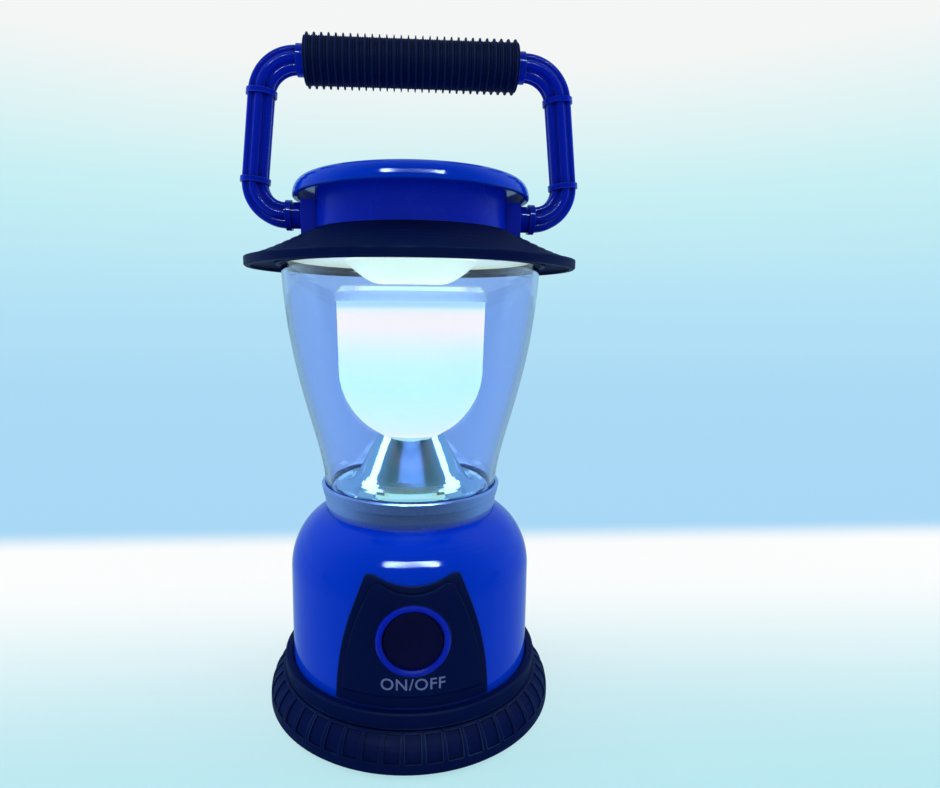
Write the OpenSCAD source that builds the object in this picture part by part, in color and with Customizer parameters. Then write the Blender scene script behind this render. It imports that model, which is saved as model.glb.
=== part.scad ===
// Battery camping lantern: twist-off ribbed foot, round base housing with a push
// button, clear globe over a frosted light cup, wide brim and a folding bail handle.
// Millimetres. Z is the lantern's axis, z = 0 is the table, the button faces -Y and
// the handle turns about X.

/* [Foot and battery cover] */
// Outer radius of the foot's skirt
foot_r = 58; // [56:0.5:62]
// Height of the plain lower band of the skirt
rim_h = 3; // [2.5:0.25:4]
// Height at which the skirt meets the collar
skirt_h = 13.3; // [12.5:0.1:14]
// Height of the collar's top edge
cover_h = 19.5; // [18.5:0.25:21]
// Wall of the collar round the housing
collar_wall = 3.1; // [2.6:0.1:3.6]
// Wall of the skirt
skirt_wall = 2.4; // [1.8:0.1:3]
// Height of the cover floor's underside
floor_lift = 2.2; // [1.8:0.1:2.8]
// Thickness of the cover floor
floor_t = 2; // [1.6:0.1:2.4]
// Number of flutes round the skirt
groove_count = 48; // [40:1:50]
// Width of one flute
groove_w = 5.6; // [4:0.1:5.8]
// Depth of one flute
groove_d = 0.5; // [0.3:0.1:0.9]
// Radius of the circle the rubber pads stand on
pad_circle_r = 44; // [40:0.5:45]
// Radius of one rubber pad
pad_r = 4.5; // [3.5:0.25:5]
// Height by which the pads stand below the rim
pad_stand = 0.6; // [0.4:0.1:1]
// Number of bayonet lugs
lug_count = 3; // [2:1:4]
// Angle covered by one lug
lug_angle = 14; // [10:1:18]
// Angle the cover turns between locked and free
twist_angle = 30; // [25:1:35]
// Angle at which the first lug starts
lug_start = 53; // [45:1:60]
// Height of one lug
lug_h = 2; // [1.6:0.1:2.4]
// Radial reach of one lug
lug_reach = 1.8; // [1.4:0.1:2]

/* [Base housing] */
// Outer radius of the base housing
housing_r = 48.6; // [48:0.1:51]
// Wall of the housing
housing_wall = 2.4; // [2:0.1:2.8]
// Height of the rounded shoulder
shoulder_h = 22.8; // [18:0.2:26]
// Outer radius of the housing's flat top
housing_top_r = 34.5; // [34:0.25:36]
// Radius of the opening in the housing's top
housing_hole_r = 25.5; // [25:0.1:26]

/* [Control panel] */
// Height of the panel's lower edge above the collar
panel_lift = 0.4; // [0.3:0.1:1]
// Height of the panel's upper corners
panel_top_z = 67.5; // [66:0.5:70]
// Half width of the panel's lower edge
panel_half_low = 27.6; // [25:0.2:29]
// Half width of the panel's upper edge
panel_half_top = 17.2; // [16:0.2:19]
// Dip of the concave upper edge
panel_dip = 3.2; // [2:0.1:4.5]
// Thickness of the panel's border
panel_t = 0.6; // [0.5:0.05:1]
// Further height of the panel's raised face
panel_face_t = 1.1; // [0.5:0.05:1.2]
// Width of the border round the raised face
panel_border = 2.4; // [1.6:0.1:2.8]
// Height of the ledge below the raised face
panel_ledge = 3.2; // [2.6:0.1:5]
// Height of the slope from the ledge to the raised face
panel_slope = 2.4; // [1:0.1:3]
// Height of the button's centre
button_z = 45.6; // [43:0.2:47]
// Outer radius of the button's bezel
bezel_r = 13; // [12:0.1:13.4]
// Radial width of the bezel
bezel_w = 2.1; // [1.8:0.1:2.4]
// How far the button travels
button_travel = 2; // [1.5:0.1:2.2]

/* [Battery pack] */
// Diameter of one D cell
cell_d = 33.2; // [32.4:0.1:33.6]
// Length of one D cell with its contact
cell_len = 61.2; // [60:0.1:61.5]
// Space round a cell in its cradle
cell_gap = 0.4; // [0.3:0.05:0.5]
// Wall of the cradle between two cells
web_t = 0.7; // [0.6:0.05:1]
// Wall of the cradle's tubes
tube_wall = 1.2; // [1:0.1:1.4]
// Thickness of the cradle's top plate
cradle_plate_t = 1.8; // [1.4:0.1:2.2]
// Thickness of the contact carrier
carrier_t = 1.6; // [1.2:0.1:2]
// Thickness of the contact plates
strip_t = 0.4; // [0.3:0.05:0.5]
// Compressed height of a battery spring
spring_h = 3.5; // [3:0.1:4]

/* [Light] */
// Height of the silver ring
ring_h = 11; // [10:0.25:13]
// Outer radius of the ring's lower edge
ring_low_r = 33.8; // [33:0.1:34.2]
// Outer radius of the ring's upper edge
ring_top_r = 36.2; // [35.9:0.1:37]
// Outer radius of the globe's lower end
globe_low_r = 34.6; // [34.4:0.1:34.8]
// Outer radius of the globe's upper end
globe_top_r = 50.3; // [48:0.1:51]
// Height of the globe
globe_h = 89.4; // [86:0.2:94]
// Wall of the globe
globe_t = 2; // [1.6:0.1:2.4]
// Radius of the frosted cup's round bottom
cup_r = 28.9; // [27:0.1:30]
// Radius of the frosted cup's rim
cup_rim_r = 29.5; // [28:0.1:30.5]
// Wall of the frosted cup
cup_t = 1.6; // [1.2:0.1:2]
// Height of the cup above its seat on the cone
cup_h = 52.4; // [48:0.2:54]
// Radius of the cone's neck
neck_r = 12.8; // [12:0.1:13.6]
// Height of the cone from its flange to the cup
cone_h = 21.9; // [20:0.1:24]
// Wall of the cone
cone_t = 1.2; // [1:0.05:1.5]
// Height of the clear cap on the cup
cup_cap_h = 5.8; // [4.8:0.1:6]

/* [Brim and top] */
// Outer radius of the brim
brim_r = 63.5; // [61:0.5:67]
// Height of the brim's rim
brim_rim_h = 3.2; // [2.8:0.1:4]
// Height of the neck's seat above the brim's lower edge
brim_rise = 14.2; // [13:0.1:15]
// Thickness of the brim's shell
brim_t = 2.2; // [1.8:0.1:2.6]
// Number of fine steps on the brim
brim_steps = 9; // [6:1:12]
// Height of one fine step
brim_step_h = 0.5; // [0.3:0.05:0.6]
// Outer radius of the neck
neck_body_r = 37; // [36.4:0.1:38.6]
// Wall of the neck
neck_wall = 2.4; // [2:0.1:2.8]
// Height of the neck
neck_h = 14.9; // [14:0.1:16]
// Distance of the ear's outer face from the axis
ear_x = 41.5; // [40.5:0.1:42.5]
// Half width of an ear
ear_half_w = 9.5; // [8.5:0.25:12]
// Outer radius of the lid's lip
lid_r = 45.5; // [44.5:0.1:46.5]
// Depth of the lid's lip
lid_lip_h = 2.8; // [2.4:0.1:3.4]
// Height of the lid above the neck
lid_h = 3.9; // [3.4:0.1:5]
// Wall of the lid
lid_t = 1.9; // [1.6:0.1:2.4]

/* [Handle] */
// Height of the handle's pivot above the neck's seat
pivot_rise = 6; // [5.8:0.1:6.4]
// Height of the grip above the pivot
grip_rise = 56.6; // [54:0.2:62]
// Half length of the grip
grip_half = 40.2; // [38:0.2:43]
// Outer radius of the grip's ribs
grip_r = 9.6; // [9:0.1:10.2]
// Number of ribs on the grip
rib_count = 30; // [24:1:36]
// Depth of the ribs
rib_d = 1.2; // [0.9:0.1:1.5]
// Radius of the fluted tube over its ridges
tube_r = 5.2; // [4.8:0.1:5.4]
// Radius of one ridge of the tube
ridge_r = 1.75; // [1.7:0.05:1.95]
// Inward lean of the arms in degrees
arm_lean = 5.8; // [4:0.2:7]
// Bend radius of the lower elbows
low_bend_r = 11.5; // [10:0.25:13]
// Bend radius of the upper elbows
top_bend_r = 13.5; // [12:0.25:15]
// Width of the plain rings round the tube
band_w = 2.2; // [1.6:0.1:2.6]
// Distance from an ear to the ring at the lower elbow
stub_len = 4.2; // [3.8:0.1:5]
// Radius of the pivot journal
journal_r = 3.2; // [2.8:0.1:3.4]

/* [Fits] */
// Gap between faces that move past each other
run_gap = 0.3; // [0.2:0.05:0.4]
// Radial clearance of the pivots
pivot_gap = 0.1; // [0.05:0.01:0.1]
// Gap round a piece that is pushed into its seat
seat_gap = 0.1; // [0.05:0.05:0.15]

/* [Hidden] */
$fn = 96;

housing_blue = "#1540e0";
deep_blue = "#1028b4";
black_plastic = "#14162c";
black_rubber = "#181a24";
steel = "#b8bcc4";
silver_paint = "#9aa2c0";
nickel = "#c8c4b8";
board_green = "#1f6a3c";
frosted = "#e8fbf8";

eps = 0.01;
quarter = 90;

// Heights, from the table upwards
floor_top = floor_lift + floor_t;
carrier_z = floor_top + run_gap;
carrier_top = carrier_z + carrier_t;
cell_z = carrier_top + strip_t + spring_h;
cell_top = cell_z + cell_len;
plate_z = cell_top + strip_t;
plate_top = plate_z + cradle_plate_t;
standoff_h = 0.5;
board_t = 1.6;
board_z = plate_top + standoff_h;
board_top = board_z + board_t;
head_room = 1.1;
land_t = 2.2;
land_z = board_top + head_room;
housing_top = land_z + land_t;
shoulder_z = housing_top - shoulder_h;
ring_top = housing_top + ring_h;

// Foot and bayonet
bore_r = housing_r + run_gap;
collar_r = bore_r + collar_wall;
skirt_top_r = collar_r + 0.2;
skirt_run = foot_r - skirt_top_r;
skirt_bend_r = (pow(skirt_run, 2) + pow(skirt_h - rim_h, 2)) / (2 * skirt_run);
skirt_cx = foot_r - skirt_bend_r;
skirt_end = asin((skirt_h - rim_h) / skirt_bend_r);
rim_break = 0.8;
lip_chamfer_w = 0.5;
lip_chamfer_h = 0.4;
channel_wall = 2.4;
channel_top = 8.3;
parting_w = 0.6;
parting_d = 0.4;
groove_from = 0.17 * skirt_end;
groove_to = 0.93 * skirt_end;
pad_t = 1.6;
housing_z = floor_top + 4;
lug_z = housing_z + 1.4;
lug_tip_r = bore_r - run_gap - lug_reach;
slot_side = 1;
lug_angles = [for (i = [0:lug_count - 1]) lug_start + 360 * i / lug_count];
seal_z = 16;
seal_wire_r = 0.75;
seal_gap = 0.2;
seal_r = bore_r - seal_gap - seal_wire_r;
seal_groove_d = 1.4;

// Panel, button and switch, measured along Y from the axis
panel_z = cover_h + panel_lift;
bezel_in_r = bezel_r - bezel_w;
bezel_stand = 0.6;
bezel_len = 5.4;
bezel_break = 0.6;
bezel_front = -(housing_r + panel_t + panel_face_t + bezel_stand);
bezel_back = bezel_front + bezel_len;
button_r = bezel_in_r - run_gap;
button_recess = 0.7;
button_front = bezel_front + button_recess;
button_break = 0.5;
button_dome = 0.4;
flange_r = button_r + 1.2;
flange_t = 1.2;
flange_y = bezel_back + run_gap;
flange_back = flange_y + flange_t;
switch_y = flange_back + button_travel + 1.8;
switch_len = 6.3;
switch_half = 5;
plunger_r = 2;
plunger_reach = 2.2;
plunger_bore_d = plunger_reach + button_travel + run_gap;
switch_board_y = switch_y + switch_len;
switch_board_t = 1.2;
switch_board_half = 7;
boss_r = 3;
boss_off = bezel_r + seat_gap + boss_r + 0.5;
switch_board_h = 2 * (boss_off + boss_r);
button_wire_r = 0.3;
button_coil_r = 3.4;
button_turns = 2.5;

// Cells and cradle
cell_r = cell_d / 2;
cell_step = cell_d + 2 * cell_gap + web_t;
cell_circle_r = cell_step / sqrt(2);
cell_bore_r = cell_r + cell_gap;
cell_angles = [45, 135, 225, 315];
nub_r = 4.6;
nub_h = 1.5;
cell_break = 1;
housing_in_r = housing_r - housing_wall;
carrier_r = housing_in_r - 0.4;
cradle_low = cell_z + 2;
cradle_tube_top = shoulder_z + 8;
cradle_plate_r = 36.6;
cell_recess = 0.2;
cradle_post_r = 9;
contact_disc_r = 29.8;
contact_hole_r = 11;
strip_half_w = 3;
strip_y = 35;
strip_slot_gap = 0.3;
spring_wire_r = 0.45;
spring_low_r = 6.5;
spring_high_r = 4;
spring_turns = 3;
cradle_boss_r = 33.2;
cradle_boss_angles = [0, 180, 270];
cradle_boss_wall_r = 3;
screw_r = 1.4;
screw_head_r = 2.7;
screw_head_h = 1.6;
screw_bite = 4;
board_r = housing_hole_r - 0.5;
inductor_r = 4.5;
inductor_h = 3;
capacitor_r = 2.5;
capacitor_h = 2.8;
part_angle = 120;
part_circle_r = 13;

// Ring, cone and light cup
ring_step = 0.45;
ring_seat_drop = 2.2;
ring_seat_z = ring_top - ring_seat_drop;
ring_bore_r = globe_low_r + 0.3;
ring_shelf_r = 31.4;
ring_wall_r = 31.2;
ring_throat_r = housing_hole_r - 3.5;
spigot_r = housing_hole_r - 0.3;
spigot_h = 2.8;
ring_floor_t = 2;
ring_floor = housing_top + ring_floor_t;
ring_screw_r = housing_hole_r + screw_r + 2;
ring_screw_angles = [90, 210, 330];
sink_r = ring_wall_r - 0.4;
sink_t = 2;
sink_top = ring_floor + sink_t;
post_r = 9.5;
led_board_r = 10;
led_board_t = 1.6;
led_drop = 4.3;
cone_flange_t = 1;
cone_z = ring_seat_z + cone_flange_t;
cup_seat_z = cone_z + cone_h - cone_flange_t;
led_board_z = cup_seat_z - led_drop - led_board_t;
led_base_r = 3.5;
led_base_h = 1;
led_dome_r = 2.4;
lead_r = 0.6;
lead_off = 6;
cone_slope = 0.54;
cone_foot_z = cone_z + 7;
cone_foot_r = neck_r + cone_slope * (cup_seat_z - cone_foot_z);
cone_lip_r = 30.6;
cone_lip_h = 0.8;
cone_rim_r = globe_low_r - globe_t - 0.6;
cup_hole_r = neck_r - cone_t + 0.3;
cup_centre_z = cup_seat_z + run_gap + sqrt(pow(cup_r, 2) - pow(neck_r, 2));
cup_top = cup_seat_z + cup_h;
cup_cap_r = cup_rim_r + 0.7;
cup_cap_edge = 2.2;
cup_cap_t = 1.5;

// Globe, brim and top
seal_t = 0.8;
globe_z = ring_seat_z + seal_t;
globe_top = globe_z + globe_h;
globe_rings = 20;
deck_z = globe_top + seal_t;
deck_t = 2;
brim_z = globe_top - 3.5;
brim_top_z = brim_z + brim_rim_h;
seat_z = brim_z + brim_rise;
brim_seat_r = neck_body_r + 1;

brim_skirt_t = 1.6;
brim_sag = 2.6;
globe_clip_r = globe_top_r + 0.4;
bowl_r = 26.6;
bowl_flat_r = 12;
bowl_h = 9.6;
bowl_t = 1.2;
bowl_z = cup_top + cup_cap_h + 4 * run_gap;
bowl_flange_r = globe_top_r - globe_t - 0.6;
bowl_flange_t = 1.4;
bowl_screw_angles = [90, 210, 330];
neck_top = seat_z + neck_h;
neck_in_r = neck_body_r - neck_wall;
neck_flange_t = 2;
neck_flange_w = 8;
neck_screw_r = neck_in_r - screw_head_r - 0.3;
neck_screw_angles = [45, 135, 225, 315];
brim_in_r = neck_in_r - neck_flange_w + 0.5;
bowl_boss_r = brim_in_r + 9;
ear_top = neck_top - lid_lip_h - 1.2;
ear_drop = 2.6;
pivot_z = seat_z + pivot_rise;
pivot_bore_r = journal_r + pivot_gap;
boss_face_x = neck_in_r - 2.6;
pivot_boss_r = pivot_bore_r + 1.6;
lid_crest_r = lid_r - 5;
lid_spigot_h = 3.4;
lid_crown = 0.4;

// Handle
grip_z = pivot_z + grip_rise;
stub_x = ear_x + run_gap;
stub_r = tube_r - 0.2;
band_r = tube_r + 0.55;
collar_w = 2;
bend_x = stub_x + stub_len + band_w;
low_x = bend_x + low_bend_r * cos(arm_lean);
low_z = pivot_z + low_bend_r + low_bend_r * sin(arm_lean);
high_z = grip_z - top_bend_r + top_bend_r * sin(arm_lean);
arm_len = (high_z - low_z) / cos(arm_lean);
high_x = low_x - arm_len * sin(arm_lean);
top_x = high_x - top_bend_r * cos(arm_lean);
plug_r = 4;
plug_len = 12;
core_wall = 3.4;
core_bore_r = plug_r + seat_gap;
core_r = core_bore_r + core_wall;
washer_t = 0.8;
washer_r = journal_r + 1.4;
journal_x = boss_face_x - run_gap - washer_t;
pivot_screw_r = 1.5;
pivot_head_r = 3.4;
pivot_head_h = 2;
pivot_screw_len = 9;

// Points of a cubic Bezier curve through four control points
function bezier(p, n) = [
    for (i = [0:n]) let (t = i / n, u = 1 - t)
        pow(u, 3) * p[0] + 3 * u * u * t * p[1] + 3 * u * t * t * p[2] + pow(t, 3) * p[3]
];

// Points of an arc from angle a0 to a1
function arc(cx, cy, r, a0, a1, n) = [
    for (i = [0:n]) let (a = a0 + (a1 - a0) * i / n) [cx + r * cos(a), cy + r * sin(a)]
];

function reversed(p) = [for (i = [len(p) - 1:-1:0]) p[i]];
function moved(p, d) = [for (q = p) q + d];

// Outer line of the housing's shoulder, from the cylinder to the flat top
shoulder_line = bezier([
    [housing_r, shoulder_z],
    [housing_r, shoulder_z + 0.44 * shoulder_h],
    [housing_top_r + 0.6 * (housing_r - housing_top_r), housing_top - 0.145 * shoulder_h],
    [housing_top_r, housing_top]
], 14);

// Outer line of the globe, an S from the ring to the brim
globe_line = bezier([
    [globe_low_r, globe_z],
    [globe_low_r + 0.3, globe_z + 0.22 * globe_h],
    [globe_top_r - 1.7, globe_z + 0.465 * globe_h],
    [globe_top_r, globe_top]
], globe_rings);

// Upper line of the brim from the rim to the seat, a shallow hollow
brim_line = bezier([
    [brim_r, brim_top_z],
    [brim_r - 7, brim_top_z + 1.4],
    [brim_seat_r + 8, seat_z - brim_sag - 1],
    [brim_seat_r, seat_z]
], 2 * brim_steps);

// A round bar along X, from x0 to x1
module bar_x(r, x0, x1) {
    translate([x0, 0, 0]) rotate([0, 90, 0]) cylinder(r = r, h = x1 - x0);
}

// A round bar along Y, from y0 to y1
module bar_y(r, y0, y1) {
    translate([0, y1, 0]) rotate([90, 0, 0]) cylinder(r = r, h = y1 - y0);
}

// A pan-head screw that stands on z = 0, its shank pointing up
module screw_up(r, head_r, head_h, len) {
    cylinder(r = r, h = len);
    translate([0, 0, -head_h]) cylinder(r = head_r, h = head_h);
}

// A copy of the children at each angle round the axis, r from it
module round_axis(angles, r) {
    for (a = angles) rotate([0, 0, a]) translate([r, 0, 0]) children();
}

// A coil about Z: radius runs from r0 to r1 over the height
module coil(r0, r1, wire_r, turns, height) {
    sides = 8;
    per_turn = 16;
    steps = turns * per_turn;
    points = [
        for (i = [0:steps]) let (
            t = i / steps,
            a = 360 * i / per_turn,
            r = r0 + (r1 - r0) * t,
            z = wire_r + (height - 2 * wire_r) * t
        )
            for (j = [0:sides - 1]) let (b = 360 * j / sides)
                [(r + wire_r * cos(b)) * cos(a), (r + wire_r * cos(b)) * sin(a), z + wire_r * sin(b)]
    ];
    walls = [
        for (i = [0:steps - 1], j = [0:sides - 1]) let (k = (j + 1) % sides)
            [i * sides + j, (i + 1) * sides + j, (i + 1) * sides + k, i * sides + k]
    ];
    start = [for (j = [0:sides - 1]) j];
    finish = [for (j = [sides - 1:-1:0]) steps * sides + j];
    polyhedron(points = points, faces = concat(walls, [start], [finish]), convexity = 8);
}

// ---- Foot -----------------------------------------------------------------

module cover_profile() {
    outer = concat(
        [
            [foot_r - skirt_wall, pad_stand], [foot_r - rim_break, pad_stand],
            [foot_r, pad_stand + rim_break]
        ],
        arc(skirt_cx, rim_h, skirt_bend_r, 0, skirt_end, 10)
    );
    collar = [
        [collar_r - parting_d, skirt_h],
        [collar_r - parting_d, skirt_h + parting_w],
        [collar_r, skirt_h + parting_w],
        [collar_r, cover_h - 0.5],
        [collar_r - 0.5, cover_h],
        [bore_r + lip_chamfer_w, cover_h],
        [bore_r, cover_h - lip_chamfer_h],
        [bore_r, floor_top],
        [0, floor_top],
        [0, floor_lift],
        [bore_r + channel_wall, floor_lift],
        [bore_r + channel_wall, channel_top],
        [foot_r - skirt_wall - 1.2, channel_top],
        [foot_r - skirt_wall, channel_top - 2]
    ];
    polygon(concat(outer, collar));
}

// One flute: a slice of the band just under the skirt's surface
module grip_groove() {
    rotate([90, 0, 0])
        linear_extrude(height = groove_w, center = true)
            polygon(concat(
                arc(skirt_cx, rim_h, skirt_bend_r - groove_d, groove_from, groove_to, 5),
                arc(skirt_cx, rim_h, skirt_bend_r + 2, groove_to, groove_from, 5)
            ));
}

// One bayonet lug, which stands inwards from the cover's collar
module bayonet_lug() {
    rotate_extrude(angle = lug_angle)
        translate([lug_tip_r, lug_z]) square([bore_r + 1 - lug_tip_r, lug_h]);
}

// The L-shaped way of one lug, cut through the housing's wall and open below
module bayonet_way() {
    way_in_r = housing_in_r - 1;
    rotate([0, 0, -twist_angle - 2 * slot_side])
        rotate_extrude(angle = twist_angle + lug_angle + 3 * slot_side)
            translate([way_in_r, lug_z - run_gap])
                square([housing_wall + 2, lug_h + 2 * run_gap]);
    rotate([0, 0, -twist_angle - slot_side])
        rotate_extrude(angle = lug_angle + 2 * slot_side)
            translate([way_in_r, housing_z - 1])
                square([housing_wall + 2, lug_z + lug_h / 2 - housing_z + 1]);
}

module battery_cover() {
    color(black_plastic)
        difference() {
            union() {
                rotate_extrude() cover_profile();
                round_axis(lug_angles, 0) bayonet_lug();
                round_axis(cell_angles, pad_circle_r)
                    translate([0, 0, pad_stand])
                        cylinder(r = pad_r + 1.2, h = floor_lift - pad_stand + eps);
            }
            round_axis(cell_angles, pad_circle_r)
                translate([0, 0, -eps]) cylinder(r = pad_r + seat_gap, h = pad_t + eps);
            for (i = [0:groove_count - 1]) rotate([0, 0, 360 * i / groove_count]) grip_groove();
        }
}

module foot_pads() {
    color(black_rubber)
        round_axis(cell_angles, pad_circle_r) cylinder(r = pad_r, h = pad_t);
}

// ---- Base housing -----------------------------------------------------------

module housing_profile() {
    inner = reversed(moved(shoulder_line, [-housing_wall, -land_t]));
    polygon(concat(
        [[housing_in_r, housing_z], [housing_r, housing_z]],
        shoulder_line,
        [[housing_hole_r, housing_top], [housing_hole_r, land_z]],
        inner
    ));
}

module base_housing() {
    color(housing_blue)
        difference() {
            union() {
                rotate_extrude() housing_profile();
                for (side = [-1, 1])
                    translate([0, 0, button_z + side * boss_off])
                        bar_y(boss_r, -(housing_in_r + 1), switch_board_y);
                round_axis(cradle_boss_angles, cradle_boss_r)
                    translate([0, 0, plate_top])
                        cylinder(r = cradle_boss_wall_r, h = land_z - plate_top + 1);
            }
            translate([0, 0, button_z]) bar_y(bezel_r + seat_gap, 2 * bezel_front, switch_y);
            round_axis(lug_angles, 0) bayonet_way();
            rotate_extrude()
                translate([housing_r - seal_groove_d, seal_z - seal_wire_r])
                    square([seal_groove_d + 1, 2 * seal_wire_r]);
            round_axis(cradle_boss_angles, cradle_boss_r)
                translate([0, 0, plate_top - eps]) cylinder(r = screw_r, h = screw_bite - cradle_plate_t);
            round_axis(ring_screw_angles, ring_screw_r)
                translate([0, 0, land_z - 1]) cylinder(r = screw_r + seat_gap, h = land_t + 2);
        }
}

module housing_seal() {
    color(black_rubber)
        rotate_extrude() translate([seal_r, seal_z]) circle(r = seal_wire_r - 0.05);
}

// ---- Control panel, button and switch ---------------------------------------

// Half of the panel's outline is one curve with a rounded horn; inset pulls the sides and top inwards
module panel_outline(inset, low_z) {
    horn_r = 1.8;
    horn_x = panel_half_top - horn_r - inset;
    horn_z = panel_top_z - horn_r - inset;
    side = bezier([
        [panel_half_low - inset, low_z],
        [panel_half_low - 0.4 - inset, panel_z + 0.455 * (panel_top_z - panel_z)],
        [panel_half_top + 4.3 - inset, panel_z + 0.743 * (panel_top_z - panel_z)],
        [horn_x, horn_z] + horn_r * [cos(19), sin(19)]
    ], 10);
    horn = arc(horn_x, horn_z, horn_r, 35, 110, 4);
    dip_half = panel_half_top - 2 * horn_r - inset;
    dip_r = (pow(dip_half, 2) + pow(panel_dip, 2)) / (2 * panel_dip);
    dip_angle = asin(dip_half / dip_r);
    dip = arc(0, panel_top_z - inset - panel_dip + dip_r, dip_r, dip_angle - 90, -dip_angle - 90, 10);
    half = concat(side, horn);
    polygon(concat(half, dip, [for (q = reversed(half)) [-q[0], q[1]]]));
}

// The housing's outer surface thickened by t above foot_z, with a slope at its foot, cut to the outline
module panel_layer(t, inset, foot_z, slope) {
    intersection() {
        rotate_extrude()
            polygon(concat(
                [[housing_r, foot_z]], shoulder_line, reversed(moved(shoulder_line, [t, 0])),
                [[housing_r + t, foot_z + slope]]
            ));
        rotate([90, 0, 0]) linear_extrude(height = housing_r + 10) panel_outline(inset, foot_z - 1);
    }
}

module control_panel() {
    color(black_plastic)
        difference() {
            union() {
                panel_layer(panel_t, 0, panel_z, 0);
                panel_layer(panel_t + panel_face_t, panel_border, panel_z + panel_ledge, panel_slope);
            }
            translate([0, 0, button_z]) bar_y(bezel_r + seat_gap, 2 * bezel_front, 0);
        }
}

module button_bezel() {
    color(housing_blue)
        translate([0, bezel_front, button_z])
            rotate([-90, 0, 0])
                rotate_extrude()
                    polygon([
                        [bezel_in_r, bezel_break], [bezel_in_r + bezel_break, 0],
                        [bezel_r - bezel_break, 0], [bezel_r, bezel_break],
                        [bezel_r, bezel_len], [bezel_in_r, bezel_len]
                    ]);
}

module power_button() {
    depth = flange_y - button_front;
    color(black_rubber)
        translate([0, button_front, button_z])
            rotate([-90, 0, 0])
                rotate_extrude()
                    polygon([
                        [0, -button_dome], [0.45 * button_r, -0.75 * button_dome], [0.8 * button_r, 0],
                        [button_r - button_break, 0.6 * button_break],
                        [button_r, 1.6 * button_break], [button_r, depth],
                        [flange_r, depth], [flange_r, depth + flange_t], [0, depth + flange_t]
                    ]);
}

module switch_plunger() {
    color("white")
        translate([0, 0, button_z]) bar_y(plunger_r, flange_back, switch_y + plunger_reach);
}

module switch_body() {
    color("dimgray")
        difference() {
            translate([-switch_half, switch_y, button_z - switch_half])
                cube([2 * switch_half, switch_len, 2 * switch_half]);
            translate([0, 0, button_z])
                bar_y(plunger_r + run_gap, switch_y - eps, switch_y + plunger_bore_d);
        }
}

module switch_board() {
    color(board_green)
        translate([-switch_board_half, switch_board_y, button_z - switch_board_h / 2])
            cube([2 * switch_board_half, switch_board_t, switch_board_h]);
}

module button_spring() {
    length = switch_y - flange_back - 0.1;
    color(steel)
        translate([0, flange_back + 0.05, button_z])
            rotate([-90, 0, 0])
                coil(button_coil_r, button_coil_r, button_wire_r, button_turns, length);
}

// ---- Battery pack -------------------------------------------------------------

module contact_carrier() {
    color("dimgray")
        translate([0, 0, carrier_z]) cylinder(r = carrier_r, h = carrier_t);
}

module lower_contact() {
    color(nickel)
        translate([0, 0, carrier_top])
            difference() {
                union() {
                    cylinder(r = contact_disc_r, h = strip_t);
                    translate([-strip_half_w, 0, 0]) cube([2 * strip_half_w, strip_y + strip_t, strip_t]);
                }
                translate([0, 0, -1]) cylinder(r = contact_hole_r, h = strip_t + 2);
            }
}

module battery_springs() {
    color(steel)
        round_axis(cell_angles, cell_circle_r)
            translate([0, 0, carrier_top + strip_t])
                coil(spring_low_r, spring_high_r, spring_wire_r, spring_turns, spring_h);
}

module battery_cells() {
    body_top = cell_len - nub_h;
    color("slategray")
        round_axis(cell_angles, cell_circle_r)
            translate([0, 0, cell_z])
                rotate_extrude()
                    polygon([
                        [0, 0], [cell_r - cell_break, 0], [cell_r, cell_break],
                        [cell_r, body_top - cell_break], [cell_r - cell_break, body_top],
                        [nub_r, body_top], [nub_r, cell_len], [0, cell_len]
                    ]);
}

module upper_contact() {
    color(nickel)
        translate([0, 0, cell_top])
            difference() {
                cylinder(r = contact_disc_r, h = strip_t);
                translate([0, 0, -1]) cylinder(r = contact_hole_r, h = strip_t + 2);
            }
}

module negative_strip() {
    color(nickel)
        translate([-strip_half_w, strip_y, carrier_top + strip_t])
            cube([2 * strip_half_w, strip_t, board_z - carrier_top - strip_t]);
}

module battery_cradle() {
    slot_half_w = strip_half_w + strip_slot_gap;
    slot_t = strip_t + 2 * strip_slot_gap;
    color("dimgray")
        difference() {
            union() {
                round_axis(cell_angles, cell_circle_r)
                    translate([0, 0, cradle_low])
                        cylinder(r = cell_bore_r + tube_wall, h = cradle_tube_top - cradle_low);
                translate([0, 0, cradle_low + 1])
                    cylinder(r = cradle_post_r, h = plate_z - cradle_low - 1 + eps);
                translate([0, 0, plate_z]) cylinder(r = cradle_plate_r, h = cradle_plate_t);
                round_axis(ring_screw_angles, board_r - 4)
                    translate([0, 0, plate_top - eps]) cylinder(r = 2, h = standoff_h + eps);
            }
            round_axis(cell_angles, cell_circle_r)
                translate([0, 0, cradle_low - 1])
                    cylinder(r = cell_bore_r, h = plate_z - cradle_low + 1 + cell_recess);
            round_axis(cradle_boss_angles, cradle_boss_r)
                translate([0, 0, plate_z - 1]) cylinder(r = screw_r + seat_gap, h = cradle_plate_t + 2);
            translate([-slot_half_w, strip_y - strip_slot_gap, plate_z - 1])
                cube([2 * slot_half_w, slot_t, cradle_plate_t + 2]);
        }
}

module cradle_screws() {
    color(steel)
        round_axis(cradle_boss_angles, cradle_boss_r)
            translate([0, 0, plate_z]) screw_up(screw_r, screw_head_r, screw_head_h, screw_bite - 0.4);
}

module driver_board() {
    color(board_green)
        difference() {
            translate([0, 0, board_z]) cylinder(r = board_r, h = board_t);
            for (side = [-1, 1])
                translate([side * lead_off, 0, board_z - 1]) cylinder(r = lead_r + 0.05, h = board_t + 2);
        }
}

module driver_parts() {
    color("dimgray") {
        rotate([0, 0, part_angle])
            translate([part_circle_r, 0, board_top]) cylinder(r = inductor_r, h = inductor_h);
        rotate([0, 0, -part_angle])
            translate([part_circle_r, 0, board_top]) cylinder(r = capacitor_r, h = capacitor_h);
    }
}

// ---- Ring and light -----------------------------------------------------------

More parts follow.
